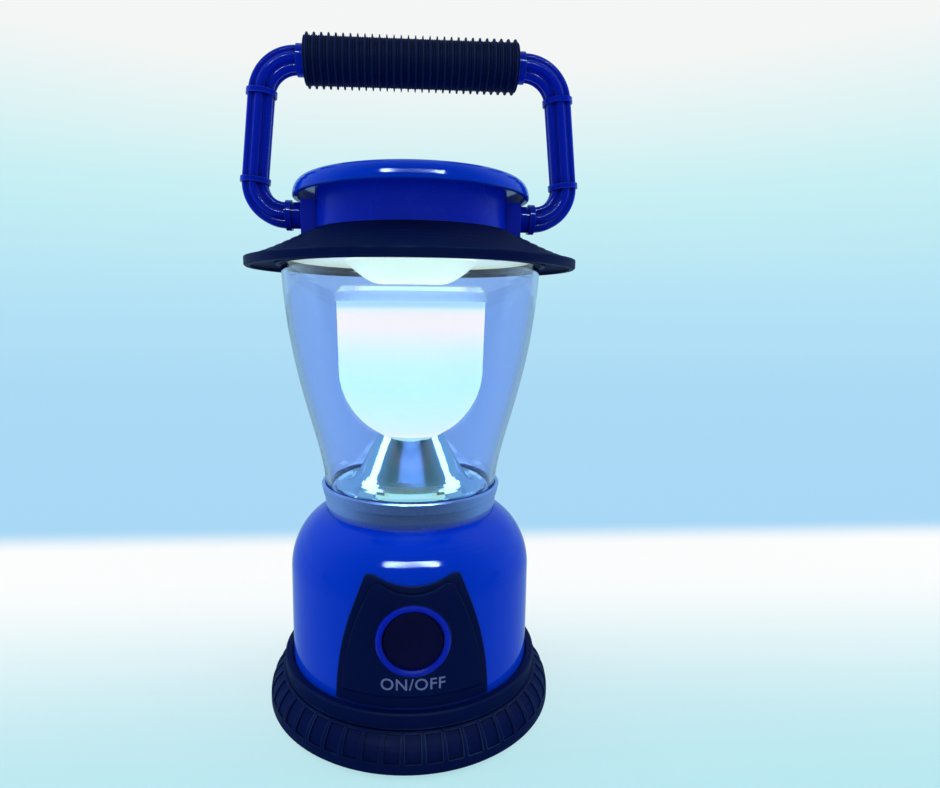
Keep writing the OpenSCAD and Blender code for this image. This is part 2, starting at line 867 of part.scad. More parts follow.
// Radius of the ring's outside at a share f of its height
function ring_side(f) = ring_low_r + (ring_top_r - ring_step - ring_low_r) * f;

module collar_ring() {
    tier_low = 0.24;
    tier_mid = 0.61;
    z_low = housing_top + tier_low * ring_h;
    z_mid = housing_top + tier_mid * ring_h;
    color(silver_paint)
        difference() {
            rotate_extrude()
                polygon([
                    [ring_throat_r, housing_top - spigot_h], [spigot_r, housing_top - spigot_h],
                    [spigot_r, housing_top], [ring_low_r, housing_top],
                    [ring_side(tier_low), z_low], [ring_side(tier_low) + ring_step, z_low],
                    [ring_side(tier_mid), z_mid], [ring_side(tier_mid) + ring_step, z_mid],
                    [ring_top_r, ring_top - 0.5], [ring_top_r - 0.3, ring_top],
                    [ring_bore_r, ring_top], [ring_bore_r, ring_seat_z],
                    [ring_shelf_r, ring_seat_z], [ring_wall_r, ring_seat_z - 2.4],
                    [ring_wall_r, ring_floor], [ring_throat_r, ring_floor]
                ]);
            round_axis(ring_screw_angles, ring_screw_r)
                translate([0, 0, housing_top - 1]) cylinder(r = screw_r + seat_gap, h = ring_floor_t + 2);
        }
}

module ring_screws() {
    color(steel)
        round_axis(ring_screw_angles, ring_screw_r)
            translate([0, 0, land_z])
                screw_up(screw_r - 0.02, screw_head_r, screw_head_h, sink_top - land_z - 0.4);
}

module heat_sink() {
    color("silver")
        difference() {
            union() {
                translate([0, 0, ring_floor]) cylinder(r = sink_r, h = sink_t);
                translate([0, 0, sink_top - eps]) cylinder(r = post_r, h = led_board_z - sink_top + eps);
            }
            for (side = [-1, 1])
                translate([side * lead_off, 0, ring_floor - 1])
                    cylinder(r = 2 * lead_r, h = led_board_z - ring_floor + 2);
            round_axis(ring_screw_angles, ring_screw_r)
                translate([0, 0, ring_floor - 1]) cylinder(r = screw_r, h = sink_t + 2);
        }
}

module led_leads() {
    color("firebrick")
        for (side = [-1, 1])
            translate([side * lead_off, 0, board_z]) cylinder(r = lead_r, h = led_board_z - board_z);
}

module led_board() {
    color("white")
        translate([0, 0, led_board_z]) cylinder(r = led_board_r, h = led_board_t);
}

module led_emitter() {
    color("gold")
        translate([0, 0, led_board_z + led_board_t])
            rotate_extrude()
                polygon(concat(
                    [[0, 0], [led_base_r, 0], [led_base_r, led_base_h]],
                    arc(0, led_base_h, led_dome_r, 0, 90, 6)
                ));
}

module reflector_cone() {
    flare = bezier([
        [cone_foot_r, cone_foot_z],
        [cone_foot_r + 2.6, cone_foot_z - 4.8],
        [cone_lip_r - 6, cone_z],
        [cone_lip_r - 1.4, cone_z]
    ], 8);
    outer = concat(
        [[neck_r - cone_t, cup_seat_z + 2], [neck_r - cone_t, cup_seat_z], [neck_r, cup_seat_z]],
        flare,
        [[cone_lip_r - 0.4, cone_z + cone_lip_h], [cone_lip_r, cone_z + cone_lip_h], [cone_lip_r + 0.4, cone_z],
         [cone_rim_r, cone_z], [cone_rim_r, ring_seat_z], [cone_lip_r - 1.4, ring_seat_z]]
    );
    inner = concat(
        reversed(moved(flare, [-1.1 * cone_t, -0.6 * cone_t])),
        [[neck_r - 2.2 * cone_t, cup_seat_z + 2]]
    );
    color("silver") rotate_extrude() polygon(concat(outer, inner));
}

module light_cup() {
    drop_angle = -acos(cup_hole_r / cup_r);
    in_r = cup_r - cup_t;
    in_angle = -acos(cup_hole_r / in_r);
    color(frosted)
        rotate_extrude()
            polygon(concat(
                arc(0, cup_centre_z, cup_r, drop_angle, 0, 14),
                [[cup_rim_r, cup_top], [cup_rim_r - cup_t, cup_top]],
                arc(0, cup_centre_z, in_r, 0, in_angle, 14)
            ));
}

module light_cup_cap() {
    color("lightcyan", 0.4)
        rotate_extrude()
            polygon([
                [0, cup_top + cup_cap_h], [cup_cap_r - cup_cap_edge, cup_top + cup_cap_h],
                [cup_cap_r, cup_top + cup_cap_h - cup_cap_edge], [cup_cap_r, cup_top],
                [cup_rim_r - cup_t - seat_gap, cup_top], [cup_rim_r - cup_t - seat_gap, cup_top - 2],
                [cup_rim_r - 2 * cup_t, cup_top - 2], [cup_rim_r - 2 * cup_t, cup_top + cup_cap_h - cup_cap_t],
                [0, cup_top + cup_cap_h - cup_cap_t]
            ]);
}

// ---- Globe -----------------------------------------------------------------------

module globe() {
    color("lightblue", 0.3)
        rotate_extrude()
            polygon(concat(globe_line, reversed(moved(globe_line, [-globe_t, 0]))));
}

module globe_lower_seal() {
    lip = 0.15;
    color(black_rubber)
        rotate_extrude()
            polygon([
                [globe_low_r - globe_t, ring_seat_z], [ring_bore_r - 0.02, ring_seat_z],
                [ring_bore_r - 0.02, ring_top + 0.2], [globe_low_r + lip, ring_top + 0.2],
                [globe_low_r + lip, globe_z], [globe_low_r - globe_t, globe_z]
            ]);
}

module globe_upper_seal() {
    color(black_rubber)
        difference() {
            translate([0, 0, globe_top]) cylinder(r = globe_top_r, h = seal_t);
            translate([0, 0, globe_top - 1]) cylinder(r = globe_top_r - globe_t, h = seal_t + 2);
        }
}

module upper_reflector() {
    flange_z = deck_z - bowl_flange_t;
    bowl = bezier([
        [bowl_flat_r, bowl_z],
        [0.62 * bowl_r, bowl_z],
        [0.74 * bowl_r, bowl_z + 0.3 * bowl_h],
        [bowl_r, flange_z]
    ], 10);
    color("white")
        difference() {
            rotate_extrude()
                polygon(concat(
                    [[0, bowl_z]], bowl,
                    [[bowl_flange_r, flange_z], [bowl_flange_r, deck_z], [bowl_r - bowl_t, deck_z]],
                    reversed(moved(bowl, [-bowl_t, bowl_t])),
                    [[0, bowl_z + bowl_t]]
                ));
            round_axis(bowl_screw_angles, bowl_boss_r)
                translate([0, 0, flange_z - 1]) cylinder(r = screw_r, h = bowl_flange_t + 2);
        }
}

module reflector_screws() {
    color(steel)
        round_axis(bowl_screw_angles, bowl_boss_r)
            translate([0, 0, deck_z + deck_t])
                rotate([180, 0, 0])
                    screw_up(screw_r - 0.02, screw_head_r, screw_head_h, deck_t + bowl_flange_t);
}

// ---- Brim and top housing -----------------------------------------------------------

// The brim's upper line with a fine drop at every second point
function stepped(p) = [
    for (i = [0:len(p) - 1])
        i % 2 == 1 && i < len(p) - 1 ? p[i] - [0, brim_step_h] : p[i]
];

module brim() {
    under = reversed(moved(brim_line, [-0.3 * brim_t, -brim_t]));
    shell_under = [for (q = under) if (q[0] > globe_clip_r + brim_skirt_t + 1 && q[0] < brim_r - brim_t) q];
    inner_under = [for (q = under) if (q[0] < globe_clip_r - 3 && q[0] > brim_in_r + 2.5) q];
    color(black_plastic)
        difference() {
            rotate_extrude()
                polygon(concat(
                    [[brim_r - 0.5, brim_z], [brim_r, brim_z + 0.5], [brim_r, brim_top_z - 0.8]],
                    stepped(brim_line),
                    [[brim_in_r, seat_z], [brim_in_r, seat_z - brim_t]],
                    inner_under,
                    [[globe_clip_r - 3, deck_z + deck_t], [0, deck_z + deck_t], [0, deck_z],
                     [globe_clip_r, deck_z], [globe_clip_r, brim_z + 1], [globe_clip_r + brim_skirt_t, brim_z + 1],
                     [globe_clip_r + brim_skirt_t, deck_z]],
                    shell_under,
                    [[brim_r - brim_t, brim_z + 1], [brim_r - brim_t, brim_z]]
                ));
            round_axis(neck_screw_angles, neck_screw_r)
                translate([0, 0, seat_z - brim_t - 1]) cylinder(r = screw_r, h = brim_t + 2);
            round_axis(bowl_screw_angles, bowl_boss_r)
                translate([0, 0, deck_z - 1]) cylinder(r = screw_r + seat_gap, h = deck_t + 2);
        }
}

module top_housing() {
    color(deep_blue)
        difference() {
            union() {
                translate([0, 0, seat_z]) cylinder(r = neck_body_r, h = neck_h);
                translate([-ear_x, -ear_half_w, seat_z - ear_drop])
                    cube([2 * ear_x, 2 * ear_half_w, ear_top - seat_z + ear_drop]);
            }
            difference() {
                translate([0, 0, seat_z + neck_flange_t]) cylinder(r = neck_in_r, h = neck_h);
                for (side = [-1, 1])
                    translate([0, 0, pivot_z])
                        scale([side, 1, 1]) bar_x(pivot_boss_r, boss_face_x, neck_in_r + 1);
            }
            translate([0, 0, seat_z - ear_drop - 1])
                cylinder(r = neck_in_r - neck_flange_w, h = neck_flange_t + ear_drop + 2);
            rotate_extrude()
                polygon(concat(
                    [[0, seat_z - 2 * ear_drop], [brim_r, seat_z - 2 * ear_drop]],
                    moved(brim_line, [0, seat_gap / 2]),
                    [[brim_seat_r, seat_z], [0, seat_z]]
                ));
            translate([0, 0, pivot_z]) bar_x(pivot_bore_r, -ear_x - 1, ear_x + 1);
            translate([-boss_face_x, -washer_r - 0.5, seat_z - 1])
                cube([2 * boss_face_x, 2 * washer_r + 1, pivot_rise]);
            round_axis(neck_screw_angles, neck_screw_r)
                translate([0, 0, seat_z - 1]) cylinder(r = screw_r + seat_gap, h = neck_flange_t + 2);
        }
}

module neck_screws() {
    color(steel)
        round_axis(neck_screw_angles, neck_screw_r)
            translate([0, 0, seat_z + neck_flange_t])
                rotate([180, 0, 0])
                    screw_up(screw_r - 0.02, screw_head_r - 0.2, screw_head_h, neck_flange_t + brim_t);
}

module cap_lid() {
    lip_z = neck_top - lid_lip_h;
    top_z = neck_top + lid_h;
    rim_h = top_z - lip_z;
    spigot = neck_in_r - seat_gap;
    rim = bezier([
        [lid_r, lip_z + 0.06 * rim_h],
        [lid_r, lip_z + 0.55 * rim_h],
        [lid_crest_r + 0.6 * (lid_r - lid_crest_r), top_z - 0.03 * rim_h],
        [lid_crest_r, top_z]
    ], 8);
    color(housing_blue)
        rotate_extrude()
            polygon(concat(
                [[lid_r - lid_t, lip_z], [lid_r - 0.3, lip_z]], rim,
                [[0, top_z + lid_crown], [0, top_z - lid_t],
                 [spigot - lid_t, top_z - lid_t], [spigot - lid_t, neck_top - lid_spigot_h],
                 [spigot, neck_top - lid_spigot_h], [spigot, neck_top], [lid_r - lid_t, neck_top]]
            ));
}

// ---- Handle -------------------------------------------------------------------------

// Section of the fluted tube: six round ridges on a core
module tube_section() {
    circle(r = tube_r - 1.1);
    for (i = [0:5])
        rotate([0, 0, 60 * i + 30]) translate([tube_r - ridge_r, 0]) circle(r = ridge_r);
}

// A bend of the fluted tube in the XZ plane, between two polar angles
module tube_bend(cx, cz, bend_r, a0, a1) {
    translate([cx, 0, cz])
        rotate([90, 0, 0])
            rotate([0, 0, a0])
                rotate_extrude(angle = a1 - a0) translate([bend_r, 0]) tube_section();
}

// A plain collar round the leaning arm, centred on x, z
module arm_collar(x, z) {
    translate([x, 0, z])
        rotate([0, -arm_lean, 0]) cylinder(r = band_r, h = collar_w, center = true);
}

// The right arm, from the pivot journal through both elbows to the grip plug
module handle_arm() {
    difference() {
        union() {
            translate([0, 0, pivot_z]) {
                bar_x(journal_r, journal_x + washer_t, stub_x + 1);
                bar_x(stub_r, stub_x, bend_x - band_w + 1);
                bar_x(band_r, bend_x - band_w, bend_x);
            }
            tube_bend(bend_x, pivot_z + low_bend_r, low_bend_r, -quarter, arm_lean);
            translate([low_x, 0, low_z])
                rotate([0, -arm_lean, 0]) linear_extrude(height = arm_len) tube_section();
            arm_collar(low_x, low_z);
            arm_collar(high_x, high_z);
            tube_bend(top_x, grip_z - top_bend_r, top_bend_r, arm_lean, quarter);
            translate([0, 0, grip_z]) {
                bar_x(band_r, grip_half, top_x);
                bar_x(plug_r, grip_half, top_x + 0.5);
                bar_x(plug_r, grip_half - plug_len, grip_half + 1);
            }
        }
        translate([0, 0, pivot_z])
            bar_x(pivot_screw_r, journal_x + washer_t - 1, journal_x + washer_t + pivot_screw_len);
    }
}

module handle_arm_right() {
    color(deep_blue) handle_arm();
}

module handle_arm_left() {
    color(deep_blue) mirror([1, 0, 0]) handle_arm();
}

module grip_core() {
    color("dimgray")
        translate([0, 0, grip_z])
            difference() {
                bar_x(core_r, -grip_half, grip_half);
                bar_x(core_bore_r, -grip_half - 1, grip_half + 1);
            }
}

module grip_sleeve() {
    pitch = 2 * grip_half / rib_count;
    root_r = grip_r - rib_d;
    // One rib as shares of the pitch and of its depth: a narrow crest between two low beads
    rib = [[0.06, 0], [0.14, 0.22], [0.22, 0], [0.36, 0.1], [0.44, 1], [0.56, 1], [0.64, 0.1],
           [0.78, 0], [0.86, 0.22], [0.94, 0]];
    color(black_rubber)
        translate([-grip_half, 0, grip_z])
            rotate([0, 90, 0])
                rotate_extrude()
                    polygon(concat(
                        [[core_r, 0]],
                        [for (i = [0:rib_count - 1], q = rib) [root_r + rib_d * q[1], (i + q[0]) * pitch]],
                        [[core_r, 2 * grip_half]]
                    ));
}

module pivot_washers() {
    color(steel)
        for (side = [-1, 1])
            translate([0, 0, pivot_z])
                scale([side, 1, 1])
                    difference() {
                        bar_x(washer_r, journal_x, journal_x + washer_t);
                        bar_x(pivot_screw_r + 0.1, journal_x - 1, journal_x + washer_t + 1);
                    }
}

module pivot_screws() {
    color(steel)
        for (side = [-1, 1])
            translate([0, 0, pivot_z])
                scale([side, 1, 1]) {
                    bar_x(pivot_screw_r - 0.02, journal_x - 0.5, journal_x + pivot_screw_len - 1);
                    bar_x(pivot_head_r, journal_x - pivot_head_h, journal_x);
                }
}

base_housing();
control_panel();
button_bezel();
power_button();
switch_plunger();
switch_body();
switch_board();
button_spring();
battery_cover();
foot_pads();
housing_seal();
contact_carrier();
lower_contact();
battery_springs();
battery_cells();
upper_contact();
negative_strip();
battery_cradle();
cradle_screws();
driver_board();
driver_parts();
collar_ring();
ring_screws();
heat_sink();
led_leads();
led_board();
led_emitter();
reflector_cone();
light_cup();
light_cup_cap();
globe();
globe_lower_seal();
globe_upper_seal();
upper_reflector();
reflector_screws();
brim();
top_housing();
neck_screws();
cap_lid();
handle_arm_left();
handle_arm_right();
grip_core();
grip_sleeve();
pivot_washers();
pivot_screws();
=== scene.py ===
"""Dresses the camping lantern's solids in their real finishes and sets them in a plain studio."""

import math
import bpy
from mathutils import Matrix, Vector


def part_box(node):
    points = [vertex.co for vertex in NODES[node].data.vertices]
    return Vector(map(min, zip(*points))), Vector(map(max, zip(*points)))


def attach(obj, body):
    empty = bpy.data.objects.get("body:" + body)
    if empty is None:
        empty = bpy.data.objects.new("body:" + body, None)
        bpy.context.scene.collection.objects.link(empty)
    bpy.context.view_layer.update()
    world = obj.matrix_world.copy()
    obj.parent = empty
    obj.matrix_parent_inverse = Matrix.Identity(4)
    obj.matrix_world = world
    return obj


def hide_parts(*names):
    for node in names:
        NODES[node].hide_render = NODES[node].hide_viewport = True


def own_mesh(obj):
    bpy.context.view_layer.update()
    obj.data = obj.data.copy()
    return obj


bl_info = {
    "name": "Camping Lantern",
    "version": (1, 0, 0),
    "blender": (4, 5, 0),
    "location": "View3D > Sidebar > Lantern",
    "description": "Finishes, printed sign and studio for a battery camping lantern",
    "category": "Object",
}

import bpy
from bpy.props import FloatProperty, FloatVectorProperty, PointerProperty
from mathutils import Matrix, Vector

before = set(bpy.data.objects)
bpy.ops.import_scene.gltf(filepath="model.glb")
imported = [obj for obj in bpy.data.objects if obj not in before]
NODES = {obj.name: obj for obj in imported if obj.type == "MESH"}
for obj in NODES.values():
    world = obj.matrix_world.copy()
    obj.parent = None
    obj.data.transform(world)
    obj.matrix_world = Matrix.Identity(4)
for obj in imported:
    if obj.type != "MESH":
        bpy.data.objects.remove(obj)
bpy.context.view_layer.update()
MM = 0.001


def srgb(code):
    """Linear red, green and blue of a hex colour such as 1A2B3C."""
    parts = [int(code[i : i + 2], 16) / 255 for i in (0, 2, 4)]
    return tuple(c / 12.92 if c <= 0.04045 else ((c + 0.055) / 1.055) ** 2.4 for c in parts)


def opaque(tone, factor=1.0):
    """A tone times a factor, with the alpha that a colour socket takes."""
    return (*[min(c * factor, 1) for c in tone], 1)


def colour(name, description, code):
    """A colour property whose default is a hex colour."""
    return FloatVectorProperty(
        name=name, description=description, subtype="COLOR", size=3, min=0, max=1, default=srgb(code)
    )


def length(name, description, default_mm):
    """A length property whose default is in millimetres."""
    return FloatProperty(
        name=name, description=description, unit="LENGTH", min=0, precision=5, default=default_mm * MM
    )


def power(name, description, default):
    """A property for a lamp's power in watts."""
    return FloatProperty(name=name, description=description, subtype="POWER", min=0, default=default)


def strength(name, description, default):
    """A property for the strength of a light that has no power of its own."""
    return FloatProperty(name=name, description=description, min=0, default=default)


class LanternColours(bpy.types.PropertyGroup):
    """Colours of the lantern's finishes, of its light and of the studio."""

    royal_blue: colour("Royal blue", "Gloss ABS of the base housing and lid", "0038D0")
    # Colour of the painted highlight along the gloss ABS's edges.
    royal_edge_highlight: colour("Royal blue edge", "Rubbed edges of the gloss ABS", "2C66F0")
    deep_blue: colour("Deep blue", "Satin ABS of the handle and bezel", "0220B8")
    neck_blue: colour("Neck blue", "Satin ABS of the neck", "0029D4")
    # Colour of the painted highlight along the satin ABS's edges.
    satin_edge_highlight: colour("Satin blue edge", "Rubbed edges of the satin ABS", "2A50D8")
    navy_black: colour("Navy black", "Etched ABS of the foot, panel and brim", "001048")
    # Colour of the painted highlight along the etched ABS's edges.
    navy_edge_highlight: colour("Navy edge", "Rubbed edges of the etched ABS", "2A4470")
    soft_black: colour("Soft black", "Rubber of the grip, pads and seals", "012062")
    button_black: colour("Button black", "Rubber of the push button", "00003C")
    silver_coat: colour("Silver coat", "Lacquer of the ring under the globe", "94B2FC")
    bright_coat: colour("Bright coat", "Metallised coat of the reflector cone", "C8EEF0")
    reflector_white: colour("Reflector white", "Gloss plastic of the upper reflector", "F2FAE8")
    # Colour of the upper reflector's painted glow, which stands in for the cup's light on it.
    reflector_painted_light: colour("Reflector light", "Light that the upper reflector gives back", "F0FCC0")
    clear_tint: colour("Clear tint", "Polycarbonate of the globe", "D6DFFF")
    cap_tint: colour("Cap tint", "Polycarbonate of the light cup's cap", "EEF6FF")
    # Colour of the cap's painted glow, which stands in for the lamp's light in its wall.
    cap_painted_light: colour("Cap light", "Light that runs up inside the cap's wall", "B4D8F4")
    frosted_white: colour("Frosted white", "Polycarbonate of the light cup", "8A9498")
    sign_grey: colour("Sign grey", "Ink of the printed switch sign", "6A70A8")
    strip_tint: colour("Strip tint", "Light of the strip lamp", "B8D8FF")
    floor: colour("Floor", "Studio floor round the lantern", "FAFCFC")
    floor_front: colour("Floor in front", "Studio floor in front of the lantern", "BCEBF3")
    floor_back: colour("Floor behind", "Foot of the studio sweep", "A9D8F6")
    backdrop: colour("Backdrop", "Studio sweep behind the lantern", "B1DFF6")
    backdrop_low: colour("Backdrop low", "Studio sweep a little above its foot", "B9E6F5")
    backdrop_mid: colour("Backdrop middle", "Studio sweep at the lantern's height", "C8F0F4")
    backdrop_top: colour("Backdrop top", "Upper edge of the studio sweep", "F4F6F5")


class LanternSizes(bpy.types.PropertyGroup):
    """Sizes of the printed sign and of the grain in the mouldings."""

    sign_height: length("Sign height", "Height of the switch sign's letters", 4.2)
    sign_rise: length("Sign rise", "Height of the sign's middle above the table", 29.4)
    sign_film: length("Sign film", "Thickness of the sign's ink film", 0.05)
    etch_grain: length("Etched grain", "Width of one bump of the etched mouldings", 0.5)
    rubber_grain: length("Rubber grain", "Width of one bump of the rubber's skin", 0.35)


class LanternStudio(bpy.types.PropertyGroup):
    """Light levels of the studio and of the lantern."""

    world_light: strength("World light", "Strength of the even light from all round", 0.56)
    side_power: power("Side power", "Power of the large lamps at the sides", 9)
    strip_power: power("Strip power", "Power of the strip lamp in front", 22)
    glow: strength("Glow", "Strength of the cup's own light", 1.4)
    # Strength of the cap's painted glow.
    cap_painted_glow: strength("Cap glow", "Strength of the light in the cup's cap", 0.12)
    # Strength of the upper reflector's painted glow.
    reflector_painted_glow: strength("Reflector glow", "Strength of the light in the upper reflector", 0.78)


# ---- Materials ----------------------------------------------------------------

# Sockets of a Mix node that mixes colours, by number because other sockets share their names.
SHARE = 0
FIRST_COLOUR = 6
SECOND_COLOUR = 7
MIXED_COLOUR = 2

# Typical indices of refraction.
ABS_IOR = 1.53
RUBBER_IOR = 1.52
POLYCARBONATE_IOR = 1.58

# The span that most values of a noise texture lie in.
NOISE_LOW = 0.3
NOISE_HIGH = 0.7

# Widths on a moulding: the slow drift of gloss and colour, a crease's painted shade and an edge's painted
# highlight.
DRIFT_WIDTH = 22 * MM
CREASE_SHADE_WIDTH = 2.5 * MM
EDGE_HIGHLIGHT_WIDTH = 0.6 * MM

# What the drift multiplies a moulding's roughness by where it is glossiest, and where dullest.
GLOSSIEST = 0.85
DULLEST = 1.2

# The painted shade in a crease, as a share of the tone round it, and the painted edge highlight's share
# where it is strongest.
CREASE_SHADE_TONE = 0.2
EDGE_HIGHLIGHT_SHARE = 0.8

# Looks that each shaded point sends out to find creases and edges.
LOOKS = 6

# Tones of the inner pieces and the hardware.
NYLON_GREY = "34363C"
MASK_GREEN = "1F6A3C"
MASK_WHITE = "ECECEC"
SLEEVE_GREY = "1C2430"
INSULATION_RED = "B01818"
PHOSPHOR_YELLOW = "F0D050"
NICKEL = "C8C4B8"
ALUMINIUM = "C9CBD2"
ZINC = "B4B8C2"

# The cup's light from its foot to its rim: share of the height, and the colour before the globe tints it.
CUP_GLOW = (
    (0.0, "ECECCF"),
    (0.08, "DBEECB"),
    (0.2, "CEF1CD"),
    (0.4, "BFF0CE"),
    (0.56, "C8EFCB"),
    (0.67, "DCEFCB"),
    (0.74, "EDEECC"),
    (0.82, "FEEDCC"),
    (0.9, "FEEDCC"),
    (0.94, "EAF0CF"),
    (0.97, "AED7CF"),
    (1.0, "AED7CF"),
)


def add_node(tree, kind, inputs=None, **settings):
    """Adds one shader node, sets its settings and its inputs, and links the inputs given as sockets.
    An input goes by its name, or by its number where several share a name."""
    made = tree.nodes.new("ShaderNode" + kind)
    for name, value in settings.items():
        setattr(made, name, value)
    for key, value in (inputs or {}).items():
        if isinstance(value, bpy.types.NodeSocket):
            tree.links.new(value, made.inputs[key])
        else:
            made.inputs[key].default_value = value
    return made


def fill_ramp(ramp, stops):
    """Sets a colour ramp to stops of place and tone, the first and last of which are its ends."""
    ramp.elements[0].color = opaque(stops[0][1])
    ramp.elements[1].color = opaque(stops[-1][1])
    for place, tone in stops[1:-1]:
        ramp.elements.new(place).color = opaque(tone)


def new_material(name):
    """An empty material and its node tree."""
    made = bpy.data.materials.new(name)
    made.use_nodes = True
    made.node_tree.nodes.clear()
    return made, made.node_tree


def finished(material, shader):
    """Links the last shader to the material's output."""
    add_node(material.node_tree, "OutputMaterial", {"Surface": shader})
    return material


def moulded_plastic(
    name,
    tone,
    roughness,
    grain,
    grain_depth,
    mottle=0.12,
    shine=0.3,
    edge=None,
    crease_shade=0.5,
    more=None,
):
    """Injection-moulded plastic: the steel's grain on the skin, a slow drift in gloss and colour,
    creases darkened with painted shade, and edges paled unevenly with a painted highlight.

    The mottle is how much the drift darkens the tone, the crease share is how much painted shade a
    crease holds, the edge tone is the colour of the painted edge highlight, and more gives the skin's
    other inputs."""
    material, tree = new_material(name)
    place = add_node(tree, "TexCoord").outputs["Object"]
    bumps = add_node(
        tree, "TexNoise", {"Vector": place, "Scale": 1 / grain, "Detail": 2.0, "Roughness": 0.6}
    )
    drift = add_node(
        tree, "TexNoise", {"Vector": place, "Scale": 1 / DRIFT_WIDTH, "Detail": 3.0, "Roughness": 0.55}
    )
    gloss = add_node(
        tree,
        "MapRange",
        {
            "Value": drift.outputs["Fac"],
            "From Min": NOISE_LOW,
            "From Max": NOISE_HIGH,
            "To Min": roughness * GLOSSIEST,
            "To Max": min(roughness * DULLEST, 1.0),
        },
    )
    shade = add_node(
        tree,
        "Mix",
        {SHARE: drift.outputs["Fac"], FIRST_COLOUR: opaque(tone, 1 - mottle), SECOND_COLOUR: opaque(tone)},
        data_type="RGBA",
    )
    # Painted shade fills a crease where fewer than half of the looks out are free, and ends at nine tenths.
    open_sky = add_node(
        tree, "AmbientOcclusion", {"Distance": CREASE_SHADE_WIDTH}, samples=LOOKS, only_local=True
    )
    painted_crease_shade = add_node(
        tree,
        "MapRange",
        {
            "Value": open_sky.outputs["AO"],
            "From Min": 0.45,
            "From Max": 0.9,
            "To Min": crease_shade,
            "To Max": 0.0,
        },
    )
    shade = add_node(
        tree,
        "Mix",
        {
            SHARE: painted_crease_shade.outputs["Result"],
            FIRST_COLOUR: shade.outputs[MIXED_COLOUR],
            SECOND_COLOUR: opaque(tone, CREASE_SHADE_TONE),
        },
        data_type="RGBA",
    )
    if edge:
        # The painted edge highlight is strongest where half of the looks into the body or fewer stay in
        # plastic.
        body = add_node(
            tree,
            "AmbientOcclusion",
            {"Distance": EDGE_HIGHLIGHT_WIDTH},
            samples=LOOKS,
            only_local=True,
            inside=True,
        )
        painted_edge_highlight = add_node(
            tree,
            "MapRange",
            {
                "Value": body.outputs["AO"],
                "From Min": 0.5,
                "From Max": 0.9,
                "To Min": EDGE_HIGHLIGHT_SHARE,
                "To Max": 0.0,
            },
        )
        # The painted edge highlight is spread unevenly, down to a trace where the drift is low.
        uneven_highlight = add_node(
            tree,
            "MapRange",
            {"Value": drift.outputs["Fac"], "From Min": 0.4, "From Max": 0.65, "To Min": 0.15},
        )
        share = add_node(
            tree, "Math", {0: painted_edge_highlight.outputs["Result"], 1: uneven_highlight.outputs["Result"]}, operation="MULTIPLY"
        )
        shade = add_node(
            tree,
            "Mix",
            {
                SHARE: share.outputs[0],
                FIRST_COLOUR: shade.outputs[MIXED_COLOUR],
                SECOND_COLOUR: opaque(edge),
            },
            data_type="RGBA",
        )
    bump = add_node(
        tree, "Bump", {"Height": bumps.outputs["Fac"], "Distance": grain_depth, "Strength": 1.0}
    )
    skin = add_node(
        tree,
        "BsdfPrincipled",
        {
            "Base Color": shade.outputs[MIXED_COLOUR],
            "Roughness": gloss.outputs["Result"],
            "IOR": ABS_IOR,
            "Specular IOR Level": shine,
            "Normal": bump.outputs["Normal"],
            **(more or {}),
        },
    )
    return finished(material, skin.outputs[0])


def polished_royal_blue_abs(colours):
    # Gloss ABS from a polished mould: a clear, slightly wavy reflection over a strong even blue.
    return moulded_plastic(
        "polished_royal_blue_abs",
        colours.royal_blue,
        roughness=0.09,
        grain=14 * MM,
        grain_depth=0.02 * MM,
        mottle=0.1,
        shine=0.14,
        edge=colours.royal_edge_highlight,
    )


def satin_blue_abs(name, tone, colours, roughness=0.26, shine=0.1):
    # Satin ABS: the same resin from a stoned mould, which gives broad soft highlights. The stone's
    # marks are drawn coarser than real ones, which are too fine to show.
    return moulded_plastic(
        name,
        tone,
        roughness=roughness,
        grain=0.8 * MM,
        grain_depth=0.006 * MM,
        shine=shine,
        edge=colours.satin_edge_highlight,
        crease_shade=0.9,
    )


def etched_navy_abs(colours, sizes):
    # ABS from an acid-etched mould: a leathery grain that breaks up every highlight, drawn a little
    # coarser than a real one so that it shows.
    return moulded_plastic(
        "etched_navy_abs",
        colours.navy_black,
        roughness=0.5,
        grain=sizes.etch_grain,
        grain_depth=0.02 * MM,
        mottle=0.2,
        shine=0.04,
        edge=colours.navy_edge_highlight,
        crease_shade=0.7,
    )


def moulded_rubber(name, tone, sizes):
    # Compression-moulded rubber: matt, faintly pebbled, with a soft grey sheen at the edges.
    return moulded_plastic(
        name,
        tone,
        roughness=0.6,
        grain=sizes.rubber_grain,
        grain_depth=0.03 * MM,
        mottle=0.25,
        shine=0.06,
        crease_shade=0.8,
        more={"IOR": RUBBER_IOR, "Sheen Weight": 0.03, "Sheen Roughness": 0.5},
    )


def glass_filled_nylon(name):
    # Glass-filled nylon: matt grey with a dry, fibrous skin.
    return moulded_plastic(
        name, srgb(NYLON_GREY), roughness=0.55, grain=0.6 * MM, grain_depth=0.02 * MM, mottle=0.25
    )


def white_gloss_abs(colours, studio):
    # Gloss white ABS over the lamp, with a painted glow in its emission that stands in for the cup's light
    # falling on it.
    return moulded_plastic(
        "white_gloss_abs",
        colours.reflector_white,
        roughness=0.18,
        grain=9 * MM,
        grain_depth=0.03 * MM,
        mottle=0.04,
        shine=0.5,
        more={
            "Emission Color": opaque(colours.reflector_painted_light),
            "Emission Strength": studio.reflector_painted_glow,
        },
    )


